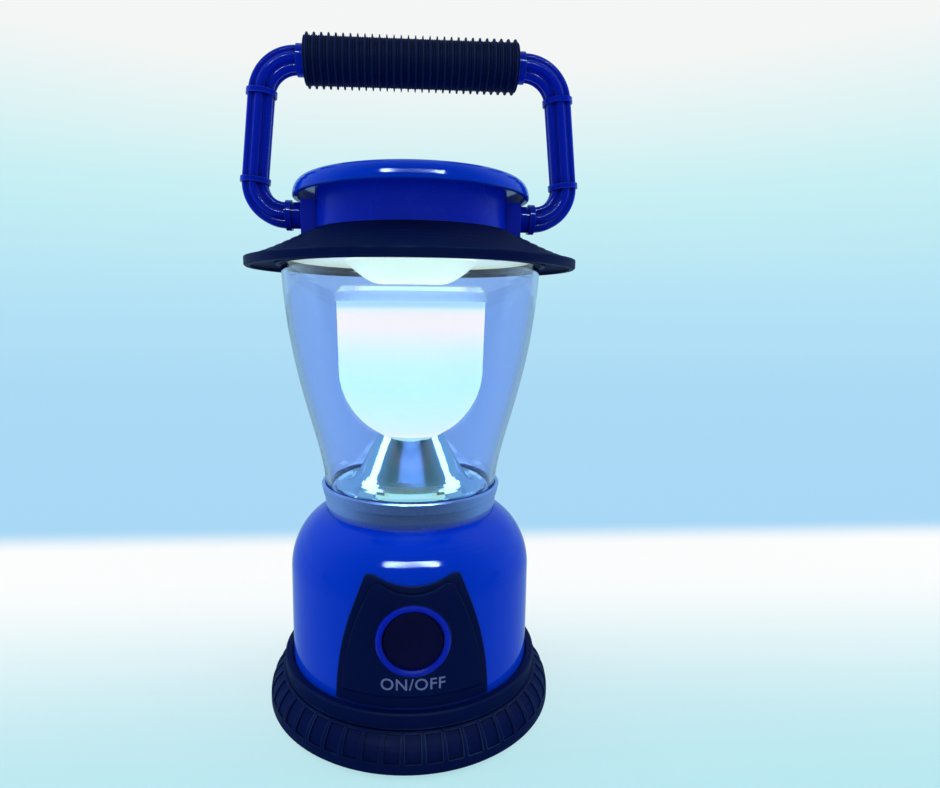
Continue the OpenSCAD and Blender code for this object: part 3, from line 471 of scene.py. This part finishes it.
def silver_lacquered_abs(colours):
    # Silver lacquer on turned-looking ABS: fine aluminium flakes and faint rings round the axis. The
    # flakes are drawn coarser than real ones, which are too fine to show.
    flake_width = 0.7 * MM
    dark_flake = 0.78
    bright_flake = 1.2
    # The noise is slowed by this across the axis, which draws its spots out into rings.
    ring_squeeze = 0.02
    material, tree = new_material("silver_lacquered_abs")
    place = add_node(tree, "TexCoord").outputs["Object"]
    flake = add_node(tree, "TexNoise", {"Vector": place, "Scale": 1 / flake_width, "Detail": 3.0})
    squeezed = add_node(tree, "Mapping", {"Vector": place, "Scale": (ring_squeeze, ring_squeeze, 1.0)})
    rings = add_node(
        tree, "TexNoise", {"Vector": squeezed.outputs["Vector"], "Scale": 1 / flake_width, "Detail": 1.0}
    )
    both = add_node(tree, "Math", {0: flake.outputs["Fac"], 1: rings.outputs["Fac"]}, operation="ADD")
    shade = add_node(
        tree,
        "Mix",
        {
            SHARE: flake.outputs["Fac"],
            FIRST_COLOUR: opaque(colours.silver_coat, dark_flake),
            SECOND_COLOUR: opaque(colours.silver_coat, bright_flake),
        },
        data_type="RGBA",
    )
    gloss = add_node(
        tree,
        "MapRange",
        {
            "Value": rings.outputs["Fac"],
            "From Min": NOISE_LOW,
            "From Max": NOISE_HIGH,
            "To Min": 0.3,
            "To Max": 0.42,
        },
    )
    bump = add_node(tree, "Bump", {"Height": both.outputs[0], "Distance": 0.006 * MM})
    skin = add_node(
        tree,
        "BsdfPrincipled",
        {
            "Base Color": shade.outputs[MIXED_COLOUR],
            "Metallic": 0.9,
            "Roughness": gloss.outputs["Result"],
            "Normal": bump.outputs["Normal"],
        },
    )
    return finished(material, skin.outputs[0])


def metallised_plastic(colours):
    # Vacuum-metallised ABS: a thin bright film that mirrors softly and shows the moulding's waves.
    wave_width = 5 * MM
    wave_depth = 0.05 * MM
    haze_width = 9 * MM
    material, tree = new_material("vacuum_metallised_abs")
    place = add_node(tree, "TexCoord").outputs["Object"]
    wave = add_node(tree, "TexNoise", {"Vector": place, "Scale": 1 / wave_width, "Detail": 2.0})
    haze = add_node(tree, "TexNoise", {"Vector": place, "Scale": 1 / haze_width, "Detail": 4.0})
    gloss = add_node(
        tree,
        "MapRange",
        {
            "Value": haze.outputs["Fac"],
            "From Min": NOISE_LOW,
            "From Max": NOISE_HIGH,
            "To Min": 0.05,
            "To Max": 0.09,
        },
    )
    bump = add_node(tree, "Bump", {"Height": wave.outputs["Fac"], "Distance": wave_depth})
    skin = add_node(
        tree,
        "BsdfPrincipled",
        {
            "Base Color": opaque(colours.bright_coat),
            "Metallic": 1.0,
            "Roughness": gloss.outputs["Result"],
            "Normal": bump.outputs["Normal"],
        },
    )
    return finished(material, skin.outputs[0])


def clear_polycarbonate(name, tint, roughness, more=None):
    # Clear moulded polycarbonate: a faint blue body and flow waves that bend the reflections a little.
    wave_width = 30 * MM
    wave_depth = 0.1 * MM
    material, tree = new_material(name)
    place = add_node(tree, "TexCoord").outputs["Object"]
    flow = add_node(tree, "TexNoise", {"Vector": place, "Scale": 1 / wave_width, "Detail": 1.0})
    bump = add_node(tree, "Bump", {"Height": flow.outputs["Fac"], "Distance": wave_depth})
    skin = add_node(
        tree,
        "BsdfPrincipled",
        {
            "Base Color": opaque(tint),
            "Roughness": roughness,
            "IOR": POLYCARBONATE_IOR,
            "Transmission Weight": 1.0,
            "Normal": bump.outputs["Normal"],
            **(more or {}),
        },
    )
    # Lamps reach what stands behind the wall, as they do through real clear plastic.
    passed = add_node(tree, "BsdfTransparent", {"Color": opaque(tint)})
    rays = add_node(tree, "LightPath").outputs
    shader = add_node(
        tree, "MixShader", {0: rays["Is Shadow Ray"], 1: skin.outputs[0], 2: passed.outputs[0]}
    )
    return finished(material, shader.outputs[0])


def frosted_polycarbonate(colours, studio):
    # Frosted polycarbonate over a lamp: a milky wall that glows, paler at the rim than at the middle.
    # The frost is drawn coarser than a real one, which is too fine to show.
    frost_width = 0.6 * MM
    frost_depth = 0.01 * MM
    material, tree = new_material("frosted_polycarbonate")
    place = add_node(tree, "TexCoord").outputs["Object"]
    height = add_node(tree, "SeparateXYZ", {0: place}).outputs["Z"]
    low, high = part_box("light_cup")
    share = add_node(tree, "MapRange", {"Value": height, "From Min": low.z, "From Max": high.z}, clamp=True)
    glow = add_node(tree, "ValToRGB", {0: share.outputs["Result"]})
    fill_ramp(glow.color_ramp, [(at, srgb(code)) for at, code in CUP_GLOW])
    frost = add_node(tree, "TexNoise", {"Vector": place, "Scale": 1 / frost_width, "Detail": 2.0})
    bump = add_node(tree, "Bump", {"Height": frost.outputs["Fac"], "Distance": frost_depth})
    skin = add_node(
        tree,
        "BsdfPrincipled",
        {
            "Base Color": opaque(colours.frosted_white),
            "Roughness": 0.55,
            "IOR": POLYCARBONATE_IOR,
            "Emission Color": glow.outputs[0],
            "Emission Strength": studio.glow,
            "Normal": bump.outputs["Normal"],
        },
    )
    return finished(material, skin.outputs[0])


def bare_metal(name, tone, roughness, mark_width):
    """Bare or plated metal with fine rubbed marks."""
    mark_depth = 0.005 * MM
    material, tree = new_material(name)
    place = add_node(tree, "TexCoord").outputs["Object"]
    marks = add_node(tree, "TexNoise", {"Vector": place, "Scale": 1 / mark_width, "Detail": 4.0})
    gloss = add_node(
        tree,
        "MapRange",
        {
            "Value": marks.outputs["Fac"],
            "From Min": NOISE_LOW,
            "From Max": NOISE_HIGH,
            "To Min": roughness * 0.8,
            "To Max": roughness * 1.3,
        },
    )
    bump = add_node(tree, "Bump", {"Height": marks.outputs["Fac"], "Distance": mark_depth})
    skin = add_node(
        tree,
        "BsdfPrincipled",
        {
            "Base Color": opaque(tone),
            "Metallic": 1.0,
            "Roughness": gloss.outputs["Result"],
            "Normal": bump.outputs["Normal"],
        },
    )
    return finished(material, skin.outputs[0])


def screen_printed_ink(colours):
    # Screen-printed epoxy ink: a thin grey film, duller than the plastic round it. The screen's mesh
    # is drawn coarser than a real one, which is too fine to show.
    mesh_width = 0.3 * MM
    ink, tree = new_material("screen_printed_ink")
    place = add_node(tree, "TexCoord").outputs["Object"]
    marks = add_node(tree, "TexNoise", {"Vector": place, "Scale": 1 / mesh_width, "Detail": 2.0})
    gloss = add_node(tree, "MapRange", {"Value": marks.outputs["Fac"], "To Min": 0.4, "To Max": 0.7})
    film = add_node(
        tree,
        "BsdfPrincipled",
        {"Base Color": opaque(colours.sign_grey), "Roughness": gloss.outputs["Result"]},
    )
    return finished(ink, film.outputs[0])


def dress(material, *nodes):
    """Gives a material to CAD nodes."""
    for name in nodes:
        mesh = NODES[name].data
        mesh.materials.clear()
        mesh.materials.append(material)


# ---- Pieces -------------------------------------------------------------------

# The sign's letters: height of a capital as a share of the type size, spacing, and spread of the ink.
CAPITAL_SHARE = 0.7
LETTER_SPACING = 1.08
INK_SPREAD = 0.012


def sign_mesh(text, height, radius, rise, film):
    """Printed letters, wrapped round a cylinder of the panel's radius, facing -Y."""
    curve = bpy.data.curves.new("switch_sign_letters", "FONT")
    curve.body = text
    curve.align_x = "CENTER"
    curve.align_y = "CENTER"
    curve.size = height / CAPITAL_SHARE
    curve.space_character = LETTER_SPACING
    curve.offset = height * INK_SPREAD
    curve.extrude = film / 2
    holder = bpy.data.objects.new("switch_sign_letters", curve)
    bpy.context.scene.collection.objects.link(holder)
    bpy.context.view_layer.update()
    mesh = bpy.data.meshes.new_from_object(holder.evaluated_get(bpy.context.evaluated_depsgraph_get()))
    bpy.data.objects.remove(holder)
    for vertex in mesh.vertices:
        across, up, out = vertex.co
        angle = across / radius
        reach = radius + out
        vertex.co = (reach * math.sin(angle), -reach * math.cos(angle), rise + up)
    return mesh


class LANTERN_OT_foot(bpy.types.Operator):
    """Finish the twist-off battery cover and its pads"""

    bl_idname = "lantern.foot"
    bl_label = "Foot"

    def execute(self, context):
        colours = context.scene.lantern_colours
        sizes = context.scene.lantern_sizes
        dress(etched_navy_abs(colours, sizes), "battery_cover")
        dress(moulded_rubber("pad_rubber", colours.soft_black, sizes), "foot_pads", "housing_seal")
        return {"FINISHED"}


class LANTERN_OT_base_housing(bpy.types.Operator):
    """Finish the blue base housing"""

    bl_idname = "lantern.base_housing"
    bl_label = "Base housing"

    def execute(self, context):
        dress(polished_royal_blue_abs(context.scene.lantern_colours), "base_housing")
        return {"FINISHED"}


class LANTERN_OT_control_panel(bpy.types.Operator):
    """Finish the control panel, its bezel and its button, and print the switch sign"""

    bl_idname = "lantern.control_panel"
    bl_label = "Control panel"

    def execute(self, context):
        colours = context.scene.lantern_colours
        sizes = context.scene.lantern_sizes
        dress(etched_navy_abs(colours, sizes), "control_panel")
        dress(satin_blue_abs("satin_bezel_abs", colours.deep_blue, colours), "button_bezel")
        dress(moulded_rubber("button_rubber", colours.button_black, sizes), "power_button")
        panel_radius = -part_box("control_panel")[0].y
        letters = sign_mesh("ON/OFF", sizes.sign_height, panel_radius, sizes.sign_rise, sizes.sign_film)
        letters.materials.append(screen_printed_ink(colours))
        sign = bpy.data.objects.new("switch_sign", letters)
        context.scene.collection.objects.link(sign)
        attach(sign, "lantern_body")
        return {"FINISHED"}


class LANTERN_OT_switch_gear(bpy.types.Operator):
    """Finish the switch and the driver board inside the base"""

    bl_idname = "lantern.switch_gear"
    bl_label = "Switch and driver"

    def execute(self, context):
        # Glass-fibre laminate under green solder mask: semi-gloss, with the weave just showing.
        laminate = moulded_plastic(
            "solder_masked_laminate",
            srgb(MASK_GREEN),
            roughness=0.35,
            grain=1.2 * MM,
            grain_depth=0.01 * MM,
            mottle=0.3,
        )
        dress(laminate, "switch_board", "driver_board")
        nylon = glass_filled_nylon("glass_filled_nylon")
        dress(nylon, "switch_body", "switch_plunger", "driver_parts")
        return {"FINISHED"}


class LANTERN_OT_battery_pack(bpy.types.Operator):
    """Finish the cells, their cradle and the contacts"""

    bl_idname = "lantern.battery_pack"
    bl_label = "Battery pack"

    def execute(self, context):
        dress(glass_filled_nylon("cradle_nylon"), "battery_cradle", "contact_carrier")
        # Shrunk PVC sleeve of a cell: smooth and glossy with slight waves.
        sleeve = moulded_plastic(
            "shrunk_pvc_sleeve",
            srgb(SLEEVE_GREY),
            roughness=0.22,
            grain=6 * MM,
            grain_depth=0.04 * MM,
            mottle=0.15,
        )
        dress(sleeve, "battery_cells")
        # Nickel-plated steel strip: warm grey and softly bright.
        nickel = bare_metal("nickel_plated_strip", srgb(NICKEL), roughness=0.28, mark_width=2 * MM)
        dress(nickel, "lower_contact", "upper_contact", "negative_strip", "battery_springs")
        return {"FINISHED"}


class LANTERN_OT_collar_ring(bpy.types.Operator):
    """Finish the silver ring under the globe"""

    bl_idname = "lantern.collar_ring"
    bl_label = "Collar ring"

    def execute(self, context):
        dress(silver_lacquered_abs(context.scene.lantern_colours), "collar_ring")
        return {"FINISHED"}


class LANTERN_OT_light_engine(bpy.types.Operator):
    """Finish the heat sink, leads, lamp board and emitter"""

    bl_idname = "lantern.light_engine"
    bl_label = "Light engine"

    def execute(self, context):
        # Turned aluminium: pale, with fine tool marks.
        aluminium = bare_metal("turned_aluminium", srgb(ALUMINIUM), roughness=0.35, mark_width=0.8 * MM)
        dress(aluminium, "heat_sink")
        # White solder mask on an aluminium board: bright and semi-gloss.
        mask = moulded_plastic(
            "white_solder_mask",
            srgb(MASK_WHITE),
            roughness=0.4,
            grain=1.0 * MM,
            grain_depth=0.01 * MM,
            mottle=0.05,
        )
        dress(mask, "led_board")
        # Silicone insulation: soft, matt and bright red.
        insulation = moulded_plastic(
            "silicone_insulation",
            srgb(INSULATION_RED),
            roughness=0.6,
            grain=0.5 * MM,
            grain_depth=0.01 * MM,
            mottle=0.1,
        )
        dress(insulation, "led_leads")
        # Phosphor under a clear silicone dome: warm yellow, glossy and without grain.
        dome = moulded_plastic(
            "phosphor_dome",
            srgb(PHOSPHOR_YELLOW),
            roughness=0.12,
            grain=1.0 * MM,
            grain_depth=0.0,
            mottle=0.05,
        )
        dress(dome, "led_emitter")
        return {"FINISHED"}


class LANTERN_OT_reflectors(bpy.types.Operator):
    """Finish the reflector cone and the upper reflector"""

    bl_idname = "lantern.reflectors"
    bl_label = "Reflectors"

    def execute(self, context):
        colours = context.scene.lantern_colours
        dress(metallised_plastic(colours), "reflector_cone")
        dress(white_gloss_abs(colours, context.scene.lantern_studio), "upper_reflector")
        return {"FINISHED"}


class LANTERN_OT_light_cup(bpy.types.Operator):
    """Finish the frosted light cup and its clear cap"""

    bl_idname = "lantern.light_cup"
    bl_label = "Light cup"

    def execute(self, context):
        colours = context.scene.lantern_colours
        studio = context.scene.lantern_studio
        dress(frosted_polycarbonate(colours, studio), "light_cup")
        # Stoned polycarbonate: clear but hazy, so that what stands behind it blurs. A faint painted glow
        # over the whole cap stands in for the lamp's light in its wall.
        hazy = clear_polycarbonate(
            "hazy_polycarbonate",
            colours.cap_tint,
            roughness=0.22,
            more={"Emission Color": opaque(colours.cap_painted_light), "Emission Strength": studio.cap_painted_glow},
        )
        dress(hazy, "light_cup_cap")
        return {"FINISHED"}


class LANTERN_OT_globe(bpy.types.Operator):
    """Finish the clear globe and its two seals"""

    bl_idname = "lantern.globe"
    bl_label = "Globe"

    def execute(self, context):
        colours = context.scene.lantern_colours
        dress(clear_polycarbonate("clear_polycarbonate", colours.clear_tint, roughness=0.02), "globe")
        rubber = moulded_rubber("seal_rubber", colours.soft_black, context.scene.lantern_sizes)
        dress(rubber, "globe_lower_seal", "globe_upper_seal")
        return {"FINISHED"}


class LANTERN_OT_top(bpy.types.Operator):
    """Finish the brim, neck and lid"""

    bl_idname = "lantern.top"
    bl_label = "Brim, neck and lid"

    def execute(self, context):
        colours = context.scene.lantern_colours
        dress(etched_navy_abs(colours, context.scene.lantern_sizes), "brim")
        dress(satin_blue_abs("satin_neck_abs", colours.neck_blue, colours), "top_housing")
        dress(polished_royal_blue_abs(colours), "cap_lid")
        return {"FINISHED"}


class LANTERN_OT_handle(bpy.types.Operator):
    """Finish the folding handle and its grip"""

    bl_idname = "lantern.handle"
    bl_label = "Handle"

    def execute(self, context):
        colours = context.scene.lantern_colours
        # The arms' mould was stoned more finely, so they shine a little more than satin.
        arms = satin_blue_abs(
            "semi_gloss_handle_abs", colours.deep_blue, colours, roughness=0.13, shine=0.14
        )
        dress(arms, "handle_arm_left", "handle_arm_right")
        rubber = moulded_rubber("grip_rubber", colours.soft_black, context.scene.lantern_sizes)
        dress(rubber, "grip_sleeve", "grip_core")
        return {"FINISHED"}


class LANTERN_OT_fasteners(bpy.types.Operator):
    """Finish the screws, washers and springs"""

    bl_idname = "lantern.fasteners"
    bl_label = "Fasteners"

    def execute(self, context):
        # Zinc-plated steel: bright with a slight blue-grey cast.
        zinc = bare_metal("zinc_plated_steel", srgb(ZINC), roughness=0.3, mark_width=1.0 * MM)
        dress(
            zinc,
            "cradle_screws",
            "ring_screws",
            "reflector_screws",
            "neck_screws",
            "pivot_washers",
            "pivot_screws",
            "button_spring",
        )
        # The return spring shortens as the button goes in, towards the end that rests on the switch. Here
        # it is a copy of the button spring, with a mesh of its own, on the lantern body; nothing makes it
        # shorten.
        spring = bpy.data.objects.new("return_spring", NODES["button_spring"].data.copy())
        context.scene.collection.objects.link(spring)
        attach(spring, "lantern_body")
        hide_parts("button_spring")
        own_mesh(spring)
        return {"FINISHED"}


# ---- Studio -------------------------------------------------------------------

# The rise of a look, as its direction's Z, from the foot of the backdrop to its palest part.
BACKDROP_FOOT = -0.02
BACKDROP_TOP = 0.34

# What gloss sees of the room: the direction's Y and the strength where it is dim, and where pale.
DIM_SIDE = -0.65
DIM_ROOM = 0.045
PALE_SIDE = 0.35
PALE_ROOM = 0.9

# The floor's half width, and the spans of depth behind the lantern's axis where its tones change.
FLOOR_REACH = 6.0
FRONT_SPAN = (-80 * MM, 110 * MM)
BACK_SPAN = (150 * MM, 195 * MM)
AWAY_SPAN = (0.2, 2.5)
# The share of the floor's tone that doesn't wait for the lamps, before the back span and behind it.
FLOOR_LIGHT = (0.8, 1.0)
# The span where gloss sees the floor fade to the front, and the strengths at its two ends.
FADE_SPAN = (-200 * MM, 60 * MM)
FADE_LIGHT = (0.06, 0.7)

# All lamps aim at the globe. The right one is a little weaker, so that one side is the brighter.
LAMP_AIM = Vector((0, 0, 0.13))
LEFT_PLACE = (-1.05, 0.25, 0.95)
RIGHT_PLACE = (1.05, 0.25, 0.95)
RIGHT_SHARE = 0.9
SIDE_SIZE = (0.8, 0.9)
STRIP_PLACE = (0.0, -0.9, 0.95)
STRIP_SIZE = (1.1, 0.014)

# The camera in front of the lantern: its lens, sensor and shift, its place, and its turns in degrees.
FOCAL_LENGTH = 23.86
SENSOR_WIDTH = 36
LENS_SHIFT = 0.0309
NEAREST_SEEN = 0.01
CAMERA_PLACE = (-4.8 * MM, -251.39 * MM, 158.9 * MM)
HEADING = -3.87
PITCH = -7.7
ROLL = 0.52


def ray_tests(tree):
    """Two sockets: one is 1 for rays that the camera or glass sends, the other for rays that gloss
    has turned back, also where they left through the globe."""
    rays = add_node(tree, "LightPath").outputs
    sent = add_node(
        tree, "Math", {0: rays["Is Camera Ray"], 1: rays["Is Transmission Ray"]}, operation="MAXIMUM"
    )
    turned = add_node(tree, "Math", {0: rays["Glossy Depth"], 1: 0.5}, operation="GREATER_THAN")
    return sent.outputs[0], turned.outputs[0]


def pale_studio(colours, world_light):
    """Plain even light all round. The camera and glass see the backdrop, which pales upwards, and
    gloss sees a room that is dim in front of the lantern and pale behind it."""
    world = bpy.data.worlds.new("pale_studio")
    world.use_nodes = True
    tree = world.node_tree
    tree.nodes.clear()
    way = add_node(tree, "SeparateXYZ", {0: add_node(tree, "TexCoord").outputs["Generated"]}).outputs
    rise = add_node(
        tree, "MapRange", {"Value": way["Z"], "From Min": BACKDROP_FOOT, "From Max": BACKDROP_TOP}
    )
    sweep = add_node(tree, "ValToRGB", {0: rise.outputs["Result"]})
    stops = (
        (0.0, colours.backdrop),
        (0.2, colours.backdrop_low),
        (0.55, colours.backdrop_mid),
        (1.0, colours.backdrop_top),
    )
    fill_ramp(sweep.color_ramp, stops)
    room = add_node(
        tree,
        "MapRange",
        {
            "Value": way["Y"],
            "From Min": DIM_SIDE,
            "From Max": PALE_SIDE,
            "To Min": DIM_ROOM,
            "To Max": PALE_ROOM,
        },
        interpolation_type="SMOOTHSTEP",
    )
    even = add_node(tree, "Background", {"Color": (1, 1, 1, 1), "Strength": world_light})
    shown = add_node(tree, "Background", {"Color": sweep.outputs[0], "Strength": 1.0})
    mirrored = add_node(
        tree, "Background", {"Color": opaque(colours.backdrop), "Strength": room.outputs["Result"]}
    )
    sent, turned = ray_tests(tree)
    both = add_node(tree, "MixShader", {0: sent, 1: even.outputs[0], 2: shown.outputs[0]})
    both = add_node(tree, "MixShader", {0: turned, 1: both.outputs[0], 2: mirrored.outputs[0]})
    add_node(tree, "OutputWorld", {"Surface": both.outputs[0]})
    return world


def studio_paper(colours):
    # Paper sweep: pale under the lantern, and the backdrop's colour from a line behind it on.
    paper, tree = new_material("studio_paper")
    place = add_node(tree, "TexCoord").outputs["Object"]
    depth = add_node(tree, "SeparateXYZ", {0: place}).outputs["Y"]
    front = add_node(
        tree,
        "MapRange",
        {"Value": depth, "From Min": FRONT_SPAN[0], "From Max": FRONT_SPAN[1]},
        interpolation_type="SMOOTHSTEP",
    )
    back = add_node(
        tree,
        "MapRange",
        {"Value": depth, "From Min": BACK_SPAN[0], "From Max": BACK_SPAN[1]},
        interpolation_type="SMOOTHSTEP",
    )
    away = add_node(tree, "MapRange", {"Value": depth, "From Min": AWAY_SPAN[0], "From Max": AWAY_SPAN[1]})
    under = add_node(
        tree,
        "Mix",
        {
            SHARE: front.outputs["Result"],
            FIRST_COLOUR: opaque(colours.floor_front),
            SECOND_COLOUR: opaque(colours.floor),
        },
        data_type="RGBA",
    )
    behind = add_node(
        tree,
        "Mix",
        {
            SHARE: away.outputs["Result"],
            FIRST_COLOUR: opaque(colours.floor_back),
            SECOND_COLOUR: opaque(colours.backdrop),
        },
        data_type="RGBA",
    )
    tone = add_node(
        tree,
        "Mix",
        {
            SHARE: back.outputs["Result"],
            FIRST_COLOUR: under.outputs[MIXED_COLOUR],
            SECOND_COLOUR: behind.outputs[MIXED_COLOUR],
        },
        data_type="RGBA",
    )
    matt = add_node(tree, "BsdfDiffuse", {"Color": tone.outputs[MIXED_COLOUR]})
    level = add_node(tree, "Emission", {"Color": tone.outputs[MIXED_COLOUR], "Strength": 1.0})
    sent, turned = ray_tests(tree)
    own = add_node(
        tree,
        "MapRange",
        {"Value": back.outputs["Result"], "To Min": FLOOR_LIGHT[0], "To Max": FLOOR_LIGHT[1]},
    )
    share = add_node(tree, "Math", {0: sent, 1: own.outputs["Result"]}, operation="MULTIPLY")
    both = add_node(tree, "MixShader", {0: share.outputs[0], 1: matt.outputs[0], 2: level.outputs[0]})
    # Gloss sees the floor fade in front as the room does.
    fade = add_node(
        tree,
        "MapRange",
        {
            "Value": depth,
            "From Min": FADE_SPAN[0],
            "From Max": FADE_SPAN[1],
            "To Min": FADE_LIGHT[0],
            "To Max": FADE_LIGHT[1],
        },
        interpolation_type="SMOOTHSTEP",
    )
    mirrored = add_node(
        tree, "Emission", {"Color": opaque(colours.backdrop), "Strength": fade.outputs["Result"]}
    )
    both = add_node(tree, "MixShader", {0: turned, 1: both.outputs[0], 2: mirrored.outputs[0]})
    return finished(paper, both.outputs[0])


def add_lamp(name, place, size, watts, tint, glint=False):
    """A rectangular lamp, aimed at the globe, that gives either light or a glint."""
    lamp = bpy.data.lights.new(name, "AREA")
    lamp.shape = "RECTANGLE"
    lamp.size, lamp.size_y = size
    lamp.energy = watts
    lamp.color = tint
    holder = bpy.data.objects.new(name, lamp)
    bpy.context.scene.collection.objects.link(holder)
    holder.location = place
    holder.rotation_euler = (LAMP_AIM - Vector(place)).to_track_quat("-Z", "Y").to_euler()
    # Only gloss outside the globe shows a glint.
    holder.visible_glossy = glint
    holder.visible_diffuse = not glint
    holder.visible_transmission = not glint


def view_camera():
    """The camera, which looks a little down at the lantern from in front."""
    lens = bpy.data.cameras.new("view_camera")
    lens.lens = FOCAL_LENGTH
    lens.sensor_width = SENSOR_WIDTH
    lens.shift_x = LENS_SHIFT
    lens.clip_start = NEAREST_SEEN
    camera = bpy.data.objects.new("view_camera", lens)
    bpy.context.scene.collection.objects.link(camera)
    turn = (
        Matrix.Rotation(math.radians(HEADING), 4, "Z")
        @ Matrix.Rotation(math.pi / 2 + math.radians(PITCH), 4, "X")
        @ Matrix.Rotation(math.radians(ROLL), 4, "Z")
    )
    camera.matrix_world = Matrix.Translation(CAMERA_PLACE) @ turn
    return camera


class LANTERN_OT_studio(bpy.types.Operator):
    """Set up the floor, the world, the lamps and the camera"""

    bl_idname = "lantern.studio"
    bl_label = "Studio"

    def execute(self, context):
        scene = context.scene
        colours = scene.lantern_colours
        studio = scene.lantern_studio
        scene.world = pale_studio(colours, studio.world_light)

        floor_mesh = bpy.data.meshes.new("studio_floor")
        corners = [(x * FLOOR_REACH, y * FLOOR_REACH, 0) for x, y in ((-1, -1), (1, -1), (1, 1), (-1, 1))]
        floor_mesh.from_pydata(corners, [], [(0, 1, 2, 3)])
        floor_mesh.materials.append(studio_paper(colours))
        floor = bpy.data.objects.new("studio_floor", floor_mesh)
        scene.collection.objects.link(floor)

        white = srgb("FFFFFF")
        add_lamp("left_lamp", LEFT_PLACE, SIDE_SIZE, studio.side_power, white)
        add_lamp("right_lamp", RIGHT_PLACE, SIDE_SIZE, studio.side_power * RIGHT_SHARE, white)
        add_lamp("strip_lamp", STRIP_PLACE, STRIP_SIZE, studio.strip_power, colours.strip_tint, glint=True)

        scene.camera = view_camera()
        scene.view_settings.view_transform = "Standard"
        return {"FINISHED"}


# ---- Panel and start ----------------------------------------------------------


class LANTERN_PT_panel(bpy.types.Panel):
    """Sidebar panel that lists the lantern's properties and pieces"""

    bl_idname = "LANTERN_PT_panel"
    bl_label = "Camping lantern"
    bl_space_type = "VIEW_3D"
    bl_region_type = "UI"
    bl_category = "Lantern"

    def draw(self, context):
        for group_name in GROUPS:
            group = getattr(context.scene, group_name)
            box = self.layout.box()
            for name in group.__annotations__:
                box.prop(group, name)
        for piece in PIECES:
            self.layout.operator(piece.bl_idname)


PIECES = (
    LANTERN_OT_studio,
    LANTERN_OT_foot,
    LANTERN_OT_base_housing,
    LANTERN_OT_control_panel,
    LANTERN_OT_switch_gear,
    LANTERN_OT_battery_pack,
    LANTERN_OT_collar_ring,
    LANTERN_OT_light_engine,
    LANTERN_OT_reflectors,
    LANTERN_OT_light_cup,
    LANTERN_OT_globe,
    LANTERN_OT_top,
    LANTERN_OT_handle,
    LANTERN_OT_fasteners,
)
GROUPS = {
    "lantern_colours": LanternColours,
    "lantern_sizes": LanternSizes,
    "lantern_studio": LanternStudio,
}


def register():
    """Registers the groups of properties, the operators and the panel."""
    for group in GROUPS.values():
        bpy.utils.register_class(group)
    for piece in (*PIECES, LANTERN_PT_panel):
        bpy.utils.register_class(piece)
    for name, group in GROUPS.items():
        setattr(bpy.types.Scene, name, PointerProperty(type=group))


def unregister():
    """Takes back what register did."""
    for name in GROUPS:
        delattr(bpy.types.Scene, name)
    for piece in (LANTERN_PT_panel, *reversed(PIECES)):
        bpy.utils.unregister_class(piece)
    for group in GROUPS.values():
        bpy.utils.unregister_class(group)


def main():
    """Registers everything, then dresses every piece and sets up the studio."""
    register()
    for piece in PIECES:
        group, action = piece.bl_idname.split(".")
        getattr(getattr(bpy.ops, group), action)()


if __name__ == "__main__":
    main()
